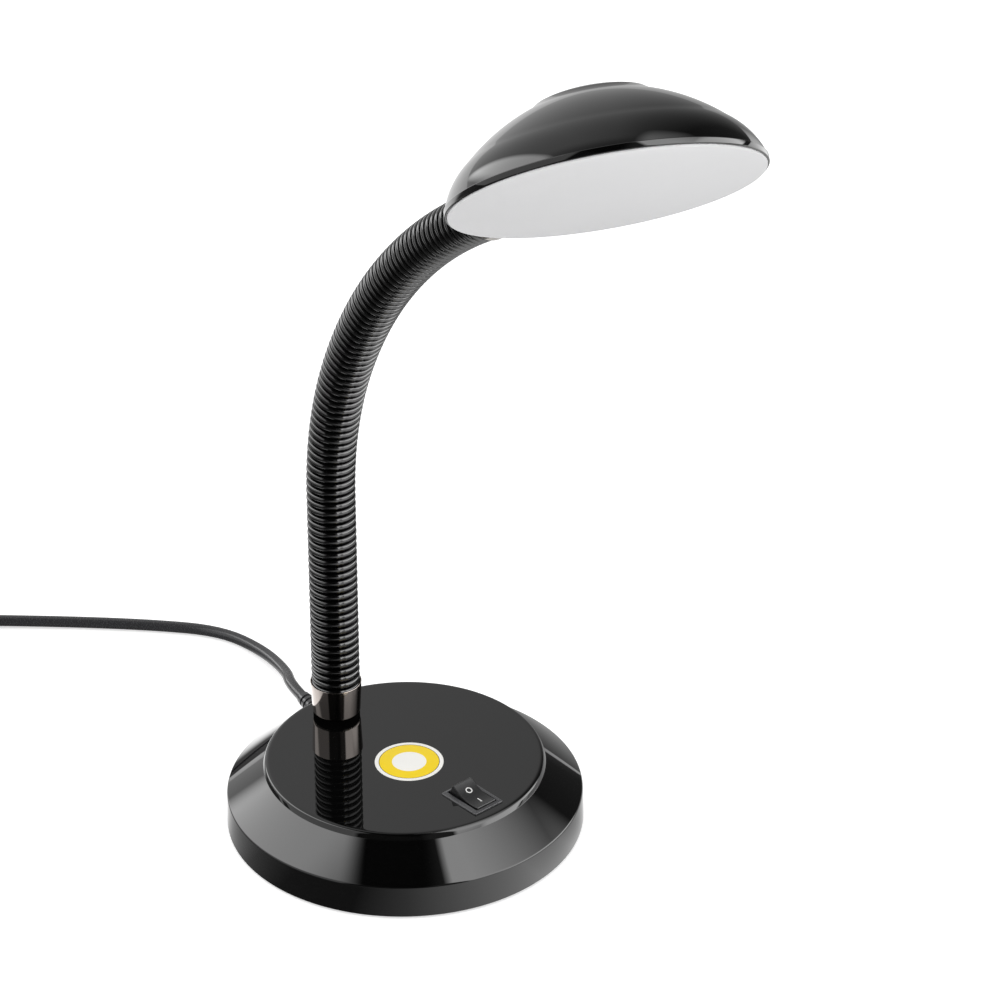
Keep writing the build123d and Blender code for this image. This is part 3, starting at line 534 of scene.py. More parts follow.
# Foot
@dataclass
class Foot:
    """The moulded foot with its plate, pad, ballast and driver, sizes in millimetres."""

    rim_low_r: float = 74.3
    rim_r: float = 74.0
    rim_top: float = 14.8
    bevel_top_r: float = 58.6
    bevel_top: float = 27.3
    deck_r: float = 57.5
    deck_rounding: float = 2.0
    lift: float = 0.8
    wall: float = 2.4
    roof_margin: float = 14.0
    inner_drop: float = 2.6
    sides: int = 256
    switch_margin: Point2 = (0.8, 1.0)
    lead_hole_r: float = 3.75
    cut_depth: float = 20.0
    label_r: float = 14.25
    label_thickness: float = 0.12
    label_middle: Point3 = (4.7, -1.5, 0.0)
    # A white middle, a yellow field, a thin dark line and a white rim
    label_rings: tuple[tuple[float, str], ...] = (
        (0.0, "F8F7F2"), (0.50, "FAD916"), (0.865, "5A4A22"), (0.885, "F8F7F2"))

    def build(self) -> None:
        """Make and dress every piece of the foot."""
        PLATE_PP.dress("base_plate", "cord_clamp")
        FOAM.dress("foot_pad")
        STEEL.dress("base_screws", "driver_screws", "clamp_screws", "neck_nipple", "neck_washer", "neck_nut")
        CAST_IRON.dress("ballast_weight")
        BOARD.dress("driver_board")
        WOUND_PARTS.dress("driver_parts")
        self.shell()
        self.sticker()

    def shell(self) -> None:
        """Turn the glossy housing and cut its openings."""
        inner_r = self.rim_low_r - self.wall
        roof = DECK_TOP - self.wall
        profile = rounded(
            ((0, roof), (self.deck_r - self.roof_margin, roof), (inner_r, self.rim_top - self.inner_drop),
             (inner_r, self.lift), (self.rim_low_r, self.lift), (self.rim_r, self.rim_top),
             (self.bevel_top_r, self.bevel_top), (self.deck_r, DECK_TOP),
             (self.deck_r - self.deck_rounding, DECK_TOP), (0, DECK_TOP)),
            {4: 0.5, 5: 1.3, 6: 0.35, 7: self.deck_rounding}, 8)
        shell = shaded("foot_housing", turned_mesh(profile, Matrix.Identity(4), self.sides), FINE_DEGREES)
        low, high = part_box("switch_housing")
        middle, half = (low + high) / 2 / MM, (high - low) / 2 / MM
        opening = rectangle(half.x - self.switch_margin[0], half.y - self.switch_margin[1],
                            (middle.x, middle.y))
        cutters = [shaded("switch_opening", swept_profile(
            opening, Matrix.Translation((0, 0, DECK_TOP * MM)), self.cut_depth))]
        outward = Matrix.Rotation(math.radians(LEAD_BEARING), 4, "Z") @ Matrix.Rotation(TAU / 4, 4, "Y")
        lead_exit = Matrix.Translation((0, 0, LEAD_HEIGHT * MM)) @ outward
        for name, radius, reach, place in (
            ("nipple_hole", NIPPLE_HOLE_R, DECK_TOP, Matrix.Translation((NECK_X * MM, 0, 0))),
            ("lead_hole", self.lead_hole_r, self.rim_r, lead_exit),
        ):
            near, far = reach - self.cut_depth / 2, reach + self.cut_depth / 2
            cutters.append(shaded(name, turned_mesh(
                ((0, near), (radius, near), (radius, far), (0, far)), place, 32)))
        cut_away(shell, cutters)
        put_on(shell, GLOSS_ABS.material(), "base", "base_shell")

    def sticker(self) -> None:
        """Lay the round label on the deck."""
        top = DECK_TOP + self.label_thickness
        profile = rounded(((0, DECK_TOP), (self.label_r, DECK_TOP), (self.label_r, top), (0, top)),
                          {2: 0.05}, 3)
        place = Matrix.Translation(Vector(self.label_middle) * MM)
        label = shaded("deck_label", turned_mesh(profile, place, 128))
        put_on(label, self.label_material(), "base")

    def label_material(self) -> Material:
        """Printed and laminated paper: plain rings of colour round the label's middle.

        Returns:
            The label's material.
        """
        material = bpy.data.materials.new("printed_label")
        tree = blank_tree(material)
        place = add_node(tree, "ShaderNodeTexCoord").outputs["Object"]
        share = 1 / (self.label_r * MM)
        centred = add_node(tree, "ShaderNodeMapping", None, {
            "Vector": place, "Scale": (share, share, 0.0),
            "Location": Vector(self.label_middle) * -MM * share})
        radius = add_node(tree, "ShaderNodeVectorMath", {"operation": "LENGTH"}, {0: centred})
        rings = add_node(tree, "ShaderNodeValToRGB", None, {"Fac": radius.outputs["Value"]})
        rings.color_ramp.interpolation = "CONSTANT"
        set_stops(rings, self.label_rings)
        grain = add_node(tree, "ShaderNodeTexNoise", None, {"Vector": place, "Scale": 2500.0})
        bump = add_node(tree, "ShaderNodeBump", None, {"Height": grain, "Distance": 0.00001, "Strength": 0.5})
        shader = add_node(tree, "ShaderNodeBsdfPrincipled", None, {
            "Base Color": rings, "Roughness": 0.3, "IOR": 1.35, "Normal": bump})
        add_node(tree, "ShaderNodeOutputMaterial", None, {"Surface": shader})
        return material


# Switch
@dataclass
class RockerSwitch:
    """The snap-in rocker switch on the deck, sizes in millimetres."""

    x: float = 42.3
    # Half length, half width, height over the deck and corner radius of each ring of the housing
    rings: tuple[tuple[float, float, float, float], ...] = (
        (9.6, 6.45, -14.0, 0.4), (9.6, 6.45, 0.0, 0.4), (10.5, 7.5, 0.0, 0.5), (10.5, 7.5, 0.5, 0.5),
        (10.35, 7.35, 0.66, 0.4), (9.3, 5.85, 1.0, 0.3), (9.1, 5.65, 0.95, 0.25), (9.1, 5.65, -4.0, 0.25))
    pivot: float = 29.4
    rest_degrees: float = 10.0
    # Section of the rocker: its two faces as one arc, their outer edges, and the round belly
    face: tuple[Point2, Point2, Point2] = ((-7.1, 4.35), (1.2, 2.4), (8.05, 3.55))
    face_edges: tuple[Point2, Point2] = ((-7.45, 4.0), (8.35, 3.15))
    half_length: float = 8.43
    belly_depth: float = 3.5
    width: float = 9.8
    off_mark_step: int = 5
    on_mark_step: int = 12

    def build(self) -> None:
        """Make and dress the switch."""
        BRASS.dress("switch_terminals")
        self.housing()
        self.rocker()

    def housing(self) -> None:
        """Make the body with its thin sloping frame and its well."""
        layers = []
        for half_length, half_width, rise, corner in self.rings:
            outline = rounded(rectangle(half_length, half_width), dict.fromkeys(range(4), corner), 4)
            layers.append([Vector((self.x + x, y, DECK_TOP + rise)) * MM for x, y in outline])
        housing = shaded("switch_frame", lofted(layers), 25)
        # The frame's colour holds painted light: lighter for the light that its sloping faces catch
        put_on(housing, SWITCH_FRAME_PAINTED_LIGHT.material(), "base", "switch_housing")

    def rocker(self) -> None:
        """Make the rocker with its two faces and its two marks."""
        turn = math.radians(self.rest_degrees)
        along = Vector((math.cos(turn), 0, -math.sin(turn)))
        place = placed(along, -SIDEWAYS, Vector((self.x, 0, self.pivot)) * MM)
        belly = []
        for step in range(1, 12):
            angle = math.pi * step / 12
            belly.append((self.half_length * math.cos(angle), -self.belly_depth * math.sin(angle)))
        face = Shade.arc(*self.face, 16)
        left, right = self.face_edges
        outline = [(-self.half_length, 0), left] + face + [right, (self.half_length, 0)] + belly
        rocker = shaded("rocker_cap", swept_profile(outline, place, self.width), 40)
        softened = rocker.modifiers.new("edge", "BEVEL")
        softened.width = 0.25 * MM
        softened.segments = 3
        softened.limit_method = "ANGLE"
        softened.angle_limit = math.radians(50)
        settle(rocker)
        put_on(rocker, SWITCH_NYLON.material(), "rocker", "switch_rocker")
        off = self.mark_place(place, *face[self.off_mark_step:][:2])
        on = self.mark_place(place, *face[self.on_mark_step:][:2])
        ring = turned_mesh(((1.0, -0.1), (1.45, -0.1), (1.45, 0.14), (1.0, 0.14)), off, 48)
        bar = swept_profile(rectangle(1.35, 0.22), on, 0.2)
        for name, bm in (("rocker_mark_off", ring), ("rocker_mark_on", bar)):
            put_on(shaded(name, bm), PRINT_WHITE.material(), "rocker")

    @staticmethod
    def mark_place(place: Matrix, spot: Point2, onward: Point2) -> Matrix:
        """Find where a mark is printed on the face of the rocker.

        Args:
            place: The plane of the rocker's section.
            spot: The mark's middle on the section.
            onward: The next point of the section, which gives the slope.

        Returns:
            The mark's own place, with Z out of the face.
        """
        x_axis = (Vector(onward) - Vector(spot)).normalized().to_3d()
        z_axis = Vector((-x_axis.y, x_axis.x, 0))
        return place @ placed(x_axis, z_axis, Vector((*spot, 0)) * MM)


# Gooseneck
@dataclass
class Gooseneck:
    """The corrugated flexible neck and its two cups, sizes in millimetres."""

    start_height: float = 33.3
    straight: float = 103.4
    # Radius and length of each bend that follows the straight stretch
    bends: tuple[Point2, ...] = ((173.2, 66.6), (207.2, 60.0), (214.1, 67.0))
    pitch: float = 10 / 3
    ribs: tuple[int, ...] = (8, 7, 7, 8, 7, 7, 8, 7, 8, 8, 8, 8)
    first_rib: float = 7.4
    crest_r: float = 10.15
    root_r: float = 8.2
    bore_r: float = 7.95
    bead_spread: float = 2.36
    bead_fall: float = 2.5
    steps_per_rib: int = 18
    sides: int = 72
    seam_side: int = 50
    seam_depth: float = 0.22
    cup_pocket: float = 6.0
    cup_pocket_r: float = 10.35
    cup_bore_r: float = 8.0
    cup_floor: float = 1.5
    cup_foot_r: float = 10.05
    cup_mouth_r: float = 10.75
    cup_length: float = 14.7
    seat_gap: float = 0.2
    spare: float = 40.0
    # Stretches at the ends that stay with foot or shade, and how far a bend stays off a cup
    held: float = 12.0
    end_margin: float = 4.0

    def spot(self, distance: float) -> tuple[Vector, Vector]:
        """Find a point on the neck's centre line.

        Args:
            distance: Millimetres from its start on the collar's floor.

        Returns:
            The point in metres, and the direction there.
        """
        point = Vector((NECK_X, 0.0, self.start_height))
        angle = 0.0
        left = distance
        run = min(left, self.straight)
        point.z += run
        left -= run
        for radius, length in self.bends:
            run = min(left, length)
            onward = angle + run / radius
            point.x += radius * (math.cos(angle) - math.cos(onward))
            point.z += radius * (math.sin(onward) - math.sin(angle))
            angle = onward
            left -= run
        direction = Vector((math.sin(angle), 0.0, math.cos(angle)))
        return (point + direction * left) * MM, direction

    @property
    def head_end(self) -> float:
        """Distance along the centre line of the upper cup's closed end."""
        cover_end = self.first_rib + sum(self.ribs) * self.pitch
        return cover_end + self.seat_gap - self.cup_pocket + self.cup_length

    def seams(self) -> list[float]:
        """Distances of the rib roots at which the cover passes from one joint to the next."""
        marks = [self.first_rib]
        for count in self.ribs:
            marks.append(marks[-1] + count * self.pitch)
        middles = [marks[0]]
        for number, count in enumerate(self.ribs[1:-1], start=1):
            middles.append(marks[number] + (count // 2) * self.pitch)
        middles.append(marks[-1])
        return middles

    def rib_tree(self) -> NodeTree:
        """Node tree that wraps a ribbed tube with a bore round a centre line.

        Returns:
            The tree, with its sizes as named inputs.
        """
        tree = bpy.data.node_groups.new("ribbed_cover", "GeometryNodeTree")
        face = tree.interface
        for way in ("INPUT", "OUTPUT"):
            face.new_socket(name="Geometry", in_out=way, socket_type="NodeSocketGeometry")
        for name, kind, value in (
            ("Start", "NodeSocketFloat", 0.0),
            ("Ribs", "NodeSocketInt", 7),
            ("Pitch", "NodeSocketFloat", self.pitch * MM),
            ("Crest Radius", "NodeSocketFloat", self.crest_r * MM),
            ("Root Radius", "NodeSocketFloat", self.root_r * MM),
            ("Bore Radius", "NodeSocketFloat", self.bore_r * MM),
            ("Seam Turn", "NodeSocketFloat", self.seam_side / self.sides),
            ("Seam Depth", "NodeSocketFloat", self.seam_depth * MM),
            ("Steps per Rib", "NodeSocketInt", self.steps_per_rib),
            ("Sides", "NodeSocketInt", self.sides),
            ("Cover Material", "NodeSocketMaterial", None),
        ):
            socket = face.new_socket(name=name, in_out="INPUT", socket_type=kind)
            if value is not None:
                socket.default_value = value
        values: dict[Any, Any] = {
            socket.name: socket for socket in add_node(tree, "NodeGroupInput").outputs}
        values["index"] = add_node(tree, "GeometryNodeInputIndex")
        add_tables(tree, values, sums=(
            # The loop of the wall runs up the outside, down the bore and back to its start
            ("steps", "MULTIPLY", "Ribs", "Steps per Rib"),
            ("around", "ADD", "Sides", 1.0),
            ("there and back", "MULTIPLY", "steps", 2.0),
            ("loop", "ADD", "there and back", 3.0),
            ("loop edges", "ADD", "there and back", 2.0),
            ("row", "DIVIDE", "index", "around"),
            ("number", "FLOOR", "row"),
            ("side", "MODULO", "index", "around"),
            ("turn", "DIVIDE", "side", "Sides"),
            ("angle", "MULTIPLY", "turn", TAU),
            ("wrapped", "FLOORED_MODULO", "number", "loop edges"),
            ("last outside", "ADD", "steps", 0.5),
            ("inside", "GREATER_THAN", "wrapped", "last outside"),
            ("turning", "ADD", "there and back", 1.0),
            ("mirrored", "SUBTRACT", "turning", "wrapped"),
            ("step", "MINIMUM", "wrapped", "mirrored"),
            # Each rib is a flat-topped bead between narrow roots
            ("ribs passed", "DIVIDE", "step", "Steps per Rib"),
            ("travelled", "MULTIPLY", "ribs passed", "Pitch"),
            ("distance", "ADD", "travelled", "Start"),
            ("nudged", "ADD", "ribs passed", 1e-4),
            ("phase", "FLOORED_MODULO", "nudged", 1.0),
            ("from middle", "SUBTRACT", "phase", 0.5),
            ("spread", "MULTIPLY", "from middle", self.bead_spread),
            ("off middle", "ABSOLUTE", "spread"),
            ("capped", "MINIMUM", "off middle", 1.0),
            ("fall", "POWER", "capped", self.bead_fall),
            ("rise", "SUBTRACT", 1.0, "fall"),
            ("above root", "MAXIMUM", "rise", 0.0),
            ("bead", "SQRT", "above root"),
            ("rib height", "SUBTRACT", "Crest Radius", "Root Radius"),
            ("radius", "MULTIPLY_ADD", "bead", "rib height", "Root Radius"),
            # The outside is nicked where the mould's halves met
            ("from seam", "SUBTRACT", "turn", "Seam Turn"),
            ("off seam", "ABSOLUTE", "from seam"),
            ("sides off", "MULTIPLY", "off seam", "Sides"),
            ("at seam", "SUBTRACT", 1.0, "sides off"),
            ("nick", "MAXIMUM", "at seam", 0.0),
            ("nick depth", "MULTIPLY", "nick", "Seam Depth"),
            ("nicked", "SUBTRACT", "radius", "nick depth"),
            ("to bore", "SUBTRACT", "Bore Radius", "nicked"),
            ("wall", "MULTIPLY_ADD", "to bore", "inside", "nicked"),
            ("cosine", "COSINE", "angle"),
            ("sine", "SINE", "angle"),
            ("to side", "MULTIPLY", "wall", "cosine"),
            ("inward", "MULTIPLY", "wall", "sine"),
        ))
        line = add_node(tree, "GeometryNodeMeshToCurve", None, {"Mesh": values["Geometry"]})
        on_line = add_node(tree, "GeometryNodeSampleCurve", {"mode": "LENGTH"}, {
            "Curves": line, "Length": values["distance"]}).outputs
        square = add_node(tree, "ShaderNodeVectorMath", {"operation": "CROSS_PRODUCT"}, {
            0: on_line["Tangent"], 1: SIDEWAYS})
        spot: Any = on_line["Position"]
        for direction, reach in ((SIDEWAYS, "to side"), (square, "inward")):
            arm = add_node(tree, "ShaderNodeVectorMath", {"operation": "SCALE"}, {
                0: direction, "Scale": values[reach]})
            spot = add_node(tree, "ShaderNodeVectorMath", {"operation": "ADD"}, {0: spot, 1: arm})
        shape = add_node(tree, "GeometryNodeMeshGrid", None, {
            "Vertices X": values["loop"], "Vertices Y": values["around"]})
        for kind, inputs in (
            ("GeometryNodeSetPosition", {"Position": spot}),
            ("GeometryNodeMergeByDistance", {"Distance": 0.00001}),
            ("GeometryNodeRealizeInstances", {}),
            ("GeometryNodeSetMaterial", {"Material": values["Cover Material"]}),
        ):
            shape = add_node(tree, kind, None, {"Geometry": shape, **inputs})
        add_node(tree, "NodeGroupOutput", None, {"Geometry": shape})
        return tree

    def centre_line(self) -> Mesh:
        """Centre line as a chain of short edges, a millimetre long."""
        count = math.ceil(self.head_end + self.spare)
        points = [self.spot(float(number))[0] for number in range(count + 1)]
        mesh = bpy.data.meshes.new("neck_line")
        mesh.from_pydata(points, [(number, number + 1) for number in range(count)], [])
        return mesh

    def cover(self) -> None:
        """Make the ribbed cover, one piece for each joint."""
        tree = self.rib_tree()
        sockets = {item.name: item.identifier for item in tree.interface.items_tree
                   if item.in_out == "INPUT"}
        seams = self.seams()
        line = self.centre_line()
        for number, (low, high) in enumerate(zip(seams, seams[1:]), start=1):
            piece = add_object(f"neck_cover_{number:02d}", line.copy())
            modifier = piece.modifiers.new("ribs", "NODES")
            modifier.node_group = tree
            modifier[sockets["Start"]] = low * MM
            modifier[sockets["Ribs"]] = round((high - low) / self.pitch)
            modifier[sockets["Cover Material"]] = RIB_PVC.material()
            settle(piece)
            bm = bmesh.new()
            bm.from_mesh(piece.data)
            turn_outward(bm, piece.data, 50)
            at_foot, at_head = number == 1, number == len(seams) - 1
            nodes = [f"neck_sleeve_{number:02d}"] + ["neck_sleeve_12"] * at_head
            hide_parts(*nodes)
            margin = self.end_margin if at_foot or at_head else 0.0
            start = self.spot(low + (self.held if at_foot else margin))[0]
            end = self.spot(high - (self.held if at_head else margin))[0]
            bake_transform(piece)

    def cup(self, name: str, node: str, body: str, place: Matrix, finish: Finish) -> None:
        """Turn one cup from its closed end.

        Args:
            name: The piece's name.
            node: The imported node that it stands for.
            body: The body that it rides on.
            place: The cup's closed end, opening along Z.
            finish: Its plating.
        """
        pocket_floor = self.cup_length - self.cup_pocket
        profile = rounded(
            ((NIPPLE_HOLE_R, 0), (self.cup_foot_r, 0), (self.cup_mouth_r, self.cup_length),
             (self.cup_pocket_r, self.cup_length), (self.cup_pocket_r, pocket_floor),
             (self.cup_bore_r, pocket_floor), (self.cup_bore_r, self.cup_floor),
             (NIPPLE_HOLE_R, self.cup_floor)),
            {1: 1.3, 2: 0.15, 3: 0.15}, 8)
        put_on(shaded(name, turned_mesh(profile, place, 192), FINE_DEGREES), finish.material(), body, node)

    def build(self) -> None:
        """Make and dress the neck."""
        ARM_STEEL.dress(*[f"neck_core_{number:02d}" for number in range(1, 13)])
        # The gasket's missing gloss is painted shade: it shows as black as the gap under the collar
        GASKET.dress("neck_gasket")
        bottom = Vector((NECK_X, 0, self.start_height - self.cup_floor)) * MM
        self.cup("neck_cup", "neck_collar", "base", Matrix.Translation(bottom), BLACK_NICKEL)
        end, direction = self.spot(self.head_end)
        self.cup("head_cup", "head_ferrule", "head", placed(SIDEWAYS, -direction, end), BRIGHT_NICKEL)
        self.cover()


# Shade
@dataclass
class Shade:
    """The low domed shade with its lip, diffuser and socket, sizes in millimetres."""

    middle: Point3 = (123.051, -2.532, 337.834)
    up: Point3 = (-0.583965, 0.299936, 0.754336)
    forward: Point3 = (0.79468, 0.0215, 0.606648)
    lip_r: float = 60.3
    lip_inner_r: float = 56.5
    lip: float = 2.6
    lip_floor: float = 1.4
    wall_r: float = 59.9
    wall: float = 2.0
    diffuser_r: float = 59.4
    diffuser_back: float = 1.3
    diffuser_gap: float = 0.1
    proud: float = 0.8
    crown: float = 1.2
    sides: int = 288
    # Section of the moulded socket, which narrows from the neck's cup into the dome
    socket_section: Profile = ((4.06, 0), (10.05, 0), (8.7, 16.5), (7.5, 16.5), (7.5, 2.5), (4.06, 2.5))

    def place(self) -> Matrix:
        """Give the shade's own place, with its light opening at height 0."""
        up = Vector(self.up).normalized()
        forward = Vector(self.forward)
        return placed((forward - up * forward.dot(up)).normalized(), up, Vector(self.middle) * MM)

    @staticmethod
    def arc(start: Point2, through: Point2, end: Point2, steps: int) -> list[Point2]:
        """Points on the circle through three points, from start to end.

        Args:
            start: The first point.
            through: A point between.
            end: The last point.
            steps: How many chords.

        Returns:
            The points, ends included.
        """
        (ax, ay), (bx, by), (cx, cy) = start, through, end
        scale = 2 * (ax * (by - cy) + bx * (cy - ay) + cx * (ay - by))
        a2, b2, c2 = ax * ax + ay * ay, bx * bx + by * by, cx * cx + cy * cy
        ux = (a2 * (by - cy) + b2 * (cy - ay) + c2 * (ay - by)) / scale
        uy = (a2 * (cx - bx) + b2 * (ax - cx) + c2 * (bx - ax)) / scale
        radius = math.hypot(ax - ux, ay - uy)
        first = math.atan2(ay - uy, ax - ux)
        last = math.atan2(cy - uy, cx - ux)
        return [(ux + radius * math.cos(first + (last - first) * n / steps),
                 uy + radius * math.sin(first + (last - first) * n / steps))
                for n in range(steps + 1)]

    def dome(self, inset: float) -> list[Point2]:
        """Outline of the dome from its wall to its top.

        Args:
            inset: How far inside the outer face the outline lies.

        Returns:
            Radius and height of each point.
        """
        flank = self.arc((self.wall_r, self.lip), (56.2, 10.2), (50.0, 16.8), 14)
        brow = self.arc((50.0, 16.8), (38.0, 26.1), (24.2, 33.0), 16)
        crown = [(24.2, 33.0)] + arc_corner((24.2, 33.0), (21.4, 35.1), (18.0, 36.4), 1.2, 4)
        top = self.arc((21.0, 35.3), (11.0, 37.8), (0.0, 38.7), 12)
        points = flank + brow[1:-1] + crown + top[1:]
        moved = []
        for number, (radius, height) in enumerate(points):
            before = points[max(number - 1, 0)]
            after = points[min(number + 1, len(points) - 1)]
            along = Vector((after[0] - before[0], after[1] - before[1])).normalized()
            moved.append((max(radius - along.y * inset, 0.0), height + along.x * inset))
        return moved

    def shell(self) -> None:
        """Turn the dome with its hollow."""
        inner = self.dome(self.wall)
        inner[0] = (self.wall_r - self.wall, self.lip)
        profile = self.dome(0.0) + inner[::-1]
        dome = shaded("shade_dome", turned_mesh(profile, self.place(), self.sides), FINE_DEGREES)
        put_on(dome, GLOSS_ABS.material(), "head", "shade_shell")

    def socket(self) -> None:
        """Turn the moulded socket that takes the neck's upper cup."""
        neck = Gooseneck()
        end, direction = neck.spot(neck.head_end)
        profile = rounded(self.socket_section, {1: 0.5}, 4)
        turned = turned_mesh(profile, placed(SIDEWAYS, direction, end), 96)
        socket = shaded("shade_socket", turned, FINE_DEGREES)
        put_on(socket, GLOSS_ABS.material(), "head")

    def opening(self) -> None:
        """Turn the lip and the crowned diffuser."""
        inner_r = self.diffuser_r + self.diffuser_gap
        lip = rounded(
            ((inner_r, 0), (self.lip_r, 0), (self.lip_r, self.lip), (self.lip_inner_r, self.lip),
             (self.lip_inner_r, self.lip_floor), (inner_r, self.lip_floor)), {0: 0.15, 1: 0.5, 2: 0.35})
        half_way = 30.0
        edge = self.diffuser_r - 0.5
        middle = -self.proud - self.crown * (1 - (half_way / edge) ** 2)
        under = self.arc((0.0, -self.proud - self.crown), (half_way, middle), (edge, -self.proud), 14)
        back = (self.diffuser_r, self.diffuser_back)
        rim = arc_corner((edge, -self.proud), (self.diffuser_r, -self.proud), back, 0.45, 4)
        diffuser = under[:-1] + rim + [back, (0.0, self.diffuser_back)]
        for name, profile, finish, node in (
            ("shade_lip", lip, GLOSS_ABS, "shade_bezel"),
            ("diffuser_lens", diffuser, OPAL, "diffuser"),
        ):
            piece = shaded(name, turned_mesh(profile, self.place(), self.sides), FINE_DEGREES)
            put_on(piece, finish.material(), "head", node)

    def build(self) -> None:
        """Make and dress the shade."""
        TRAY_WHITE.dress("reflector_tray")
        LED_BOARD.dress("led_plate")
        PHOSPHOR.dress("led_chips")
        STEEL.dress("head_screws", "head_nipple", "head_nut")
        self.shell()
        self.socket()
        self.opening()


# Mains lead
@dataclass
class MainsLead:
    """The mains lead from its relief to its plug, sizes in millimetres."""

    diameter: float = 5.0
    exit_reach: float = 90.5
    exit_run: float = 12.0
    last_run: float = 34.0
    coil_x: float = -185.5
    coil_y: float = -100.3
    coil_degrees: float = 229.7
    coil_height: float = 3.3
    layer: float = 5.5
    inner_r: float = 20.5
    half_turns: int = 6
    turn_points: int = 9

    def heading(self) -> Vector:
        """Direction in which the lead enters its coil."""
        turn = math.radians(self.coil_degrees)
        return Vector((math.cos(turn), math.sin(turn), 0.0))

    def route(self) -> list[Vector]:
        """Control points of the lead, first the free stretch and then the coil.

        Returns:
            The points in millimetres.
        """
        turn = math.radians(LEAD_BEARING)
        outward = Vector((math.cos(turn), math.sin(turn), 0.0))
        below = outward * self.exit_reach
        start = below + Vector((0, 0, LEAD_HEIGHT))
        heading = self.heading()
        entry = below + Vector((self.coil_x, self.coil_y, self.coil_height))
        end = entry - heading * self.diameter
        points = [start, start + outward * self.exit_run]
        points += [below + Vector(spot) for spot in (
            (-24.4, 10.8, 5.2),
            (-48.6, 16.8, 2.5),
            (-73.4, 13.2, 2.5),
            (-98.4, -6.7, 2.5),
            (-127.9, -35.2, 2.6),
        )]
        points += [end - heading * self.last_run, end]
        return points + self.coil(entry)

    def coil(self, entry: Vector) -> list[Vector]:
        """Control points of the coil, set a little wide because the spline cuts inside them.

        Args:
            entry: The point at which the coil starts.

        Returns:
            The points in millimetres, up to the plug.
        """
        heading = self.heading()
        across = Vector((heading.y, -heading.x, 0.0))
        falling = [self.inner_r + self.layer / 2 * step for step in range(self.half_turns, 0, -1)]
        rising = list(reversed(falling)) + [falling[0] + self.layer]
        radii = falling + [self.inner_r] + rising
        points: list[Vector] = []
        spot = entry.copy()
        for count, radius in enumerate(radii):
            side = -1 if count % 2 == 0 else 1
            ahead = heading * (1 if count % 2 == 0 else -1)
            centre = spot + across * (side * radius)
            start_arm = spot - centre
            climb = self.layer if count == len(falling) else 0.0
            wide = 1 / (0.75 + 0.25 * math.cos(math.pi / self.turn_points))
            for step in range(self.turn_points):
                angle = math.pi * (step + 0.5) / self.turn_points
                arm = start_arm * math.cos(angle) + ahead * radius * math.sin(angle)
                share = (step + 0.5) / self.turn_points
                lift = climb * share * share * (3 - 2 * share)
                points.append(centre + arm * wide + Vector((0, 0, lift)))
            spot = spot + across * (side * 2 * radius) + Vector((0, 0, climb))
        points.append(spot + heading * self.diameter)
        return points

    def build(self) -> None:
        """Make and dress the lead, its relief, its tie and its plug."""
        CORD_PVC.dress("inner_lead", "strain_relief", "cord_plug")
        TIE_PVC.dress("cord_tie")
        BRIGHT_NICKEL.dress("plug_pins")
        points = self.route()
        curve = bpy.data.curves.new("mains_lead", "CURVE")
        curve.dimensions = "3D"
        spline = curve.splines.new("NURBS")
        spline.points.add(len(points) - 1)
        for control, spot in zip(spline.points, points):
            control.co = (*(spot * MM), 1.0)
        spline.order_u = 3
        spline.use_endpoint_u = True
        spline.resolution_u = 6
        curve.bevel_depth = self.diameter / 2 * MM
        curve.bevel_resolution = 6
        curve.use_fill_caps = True
        lead = add_object("mains_lead", curve)
        put_on(lead, CORD_PVC.material(), "base", "cord", "cord_coil")


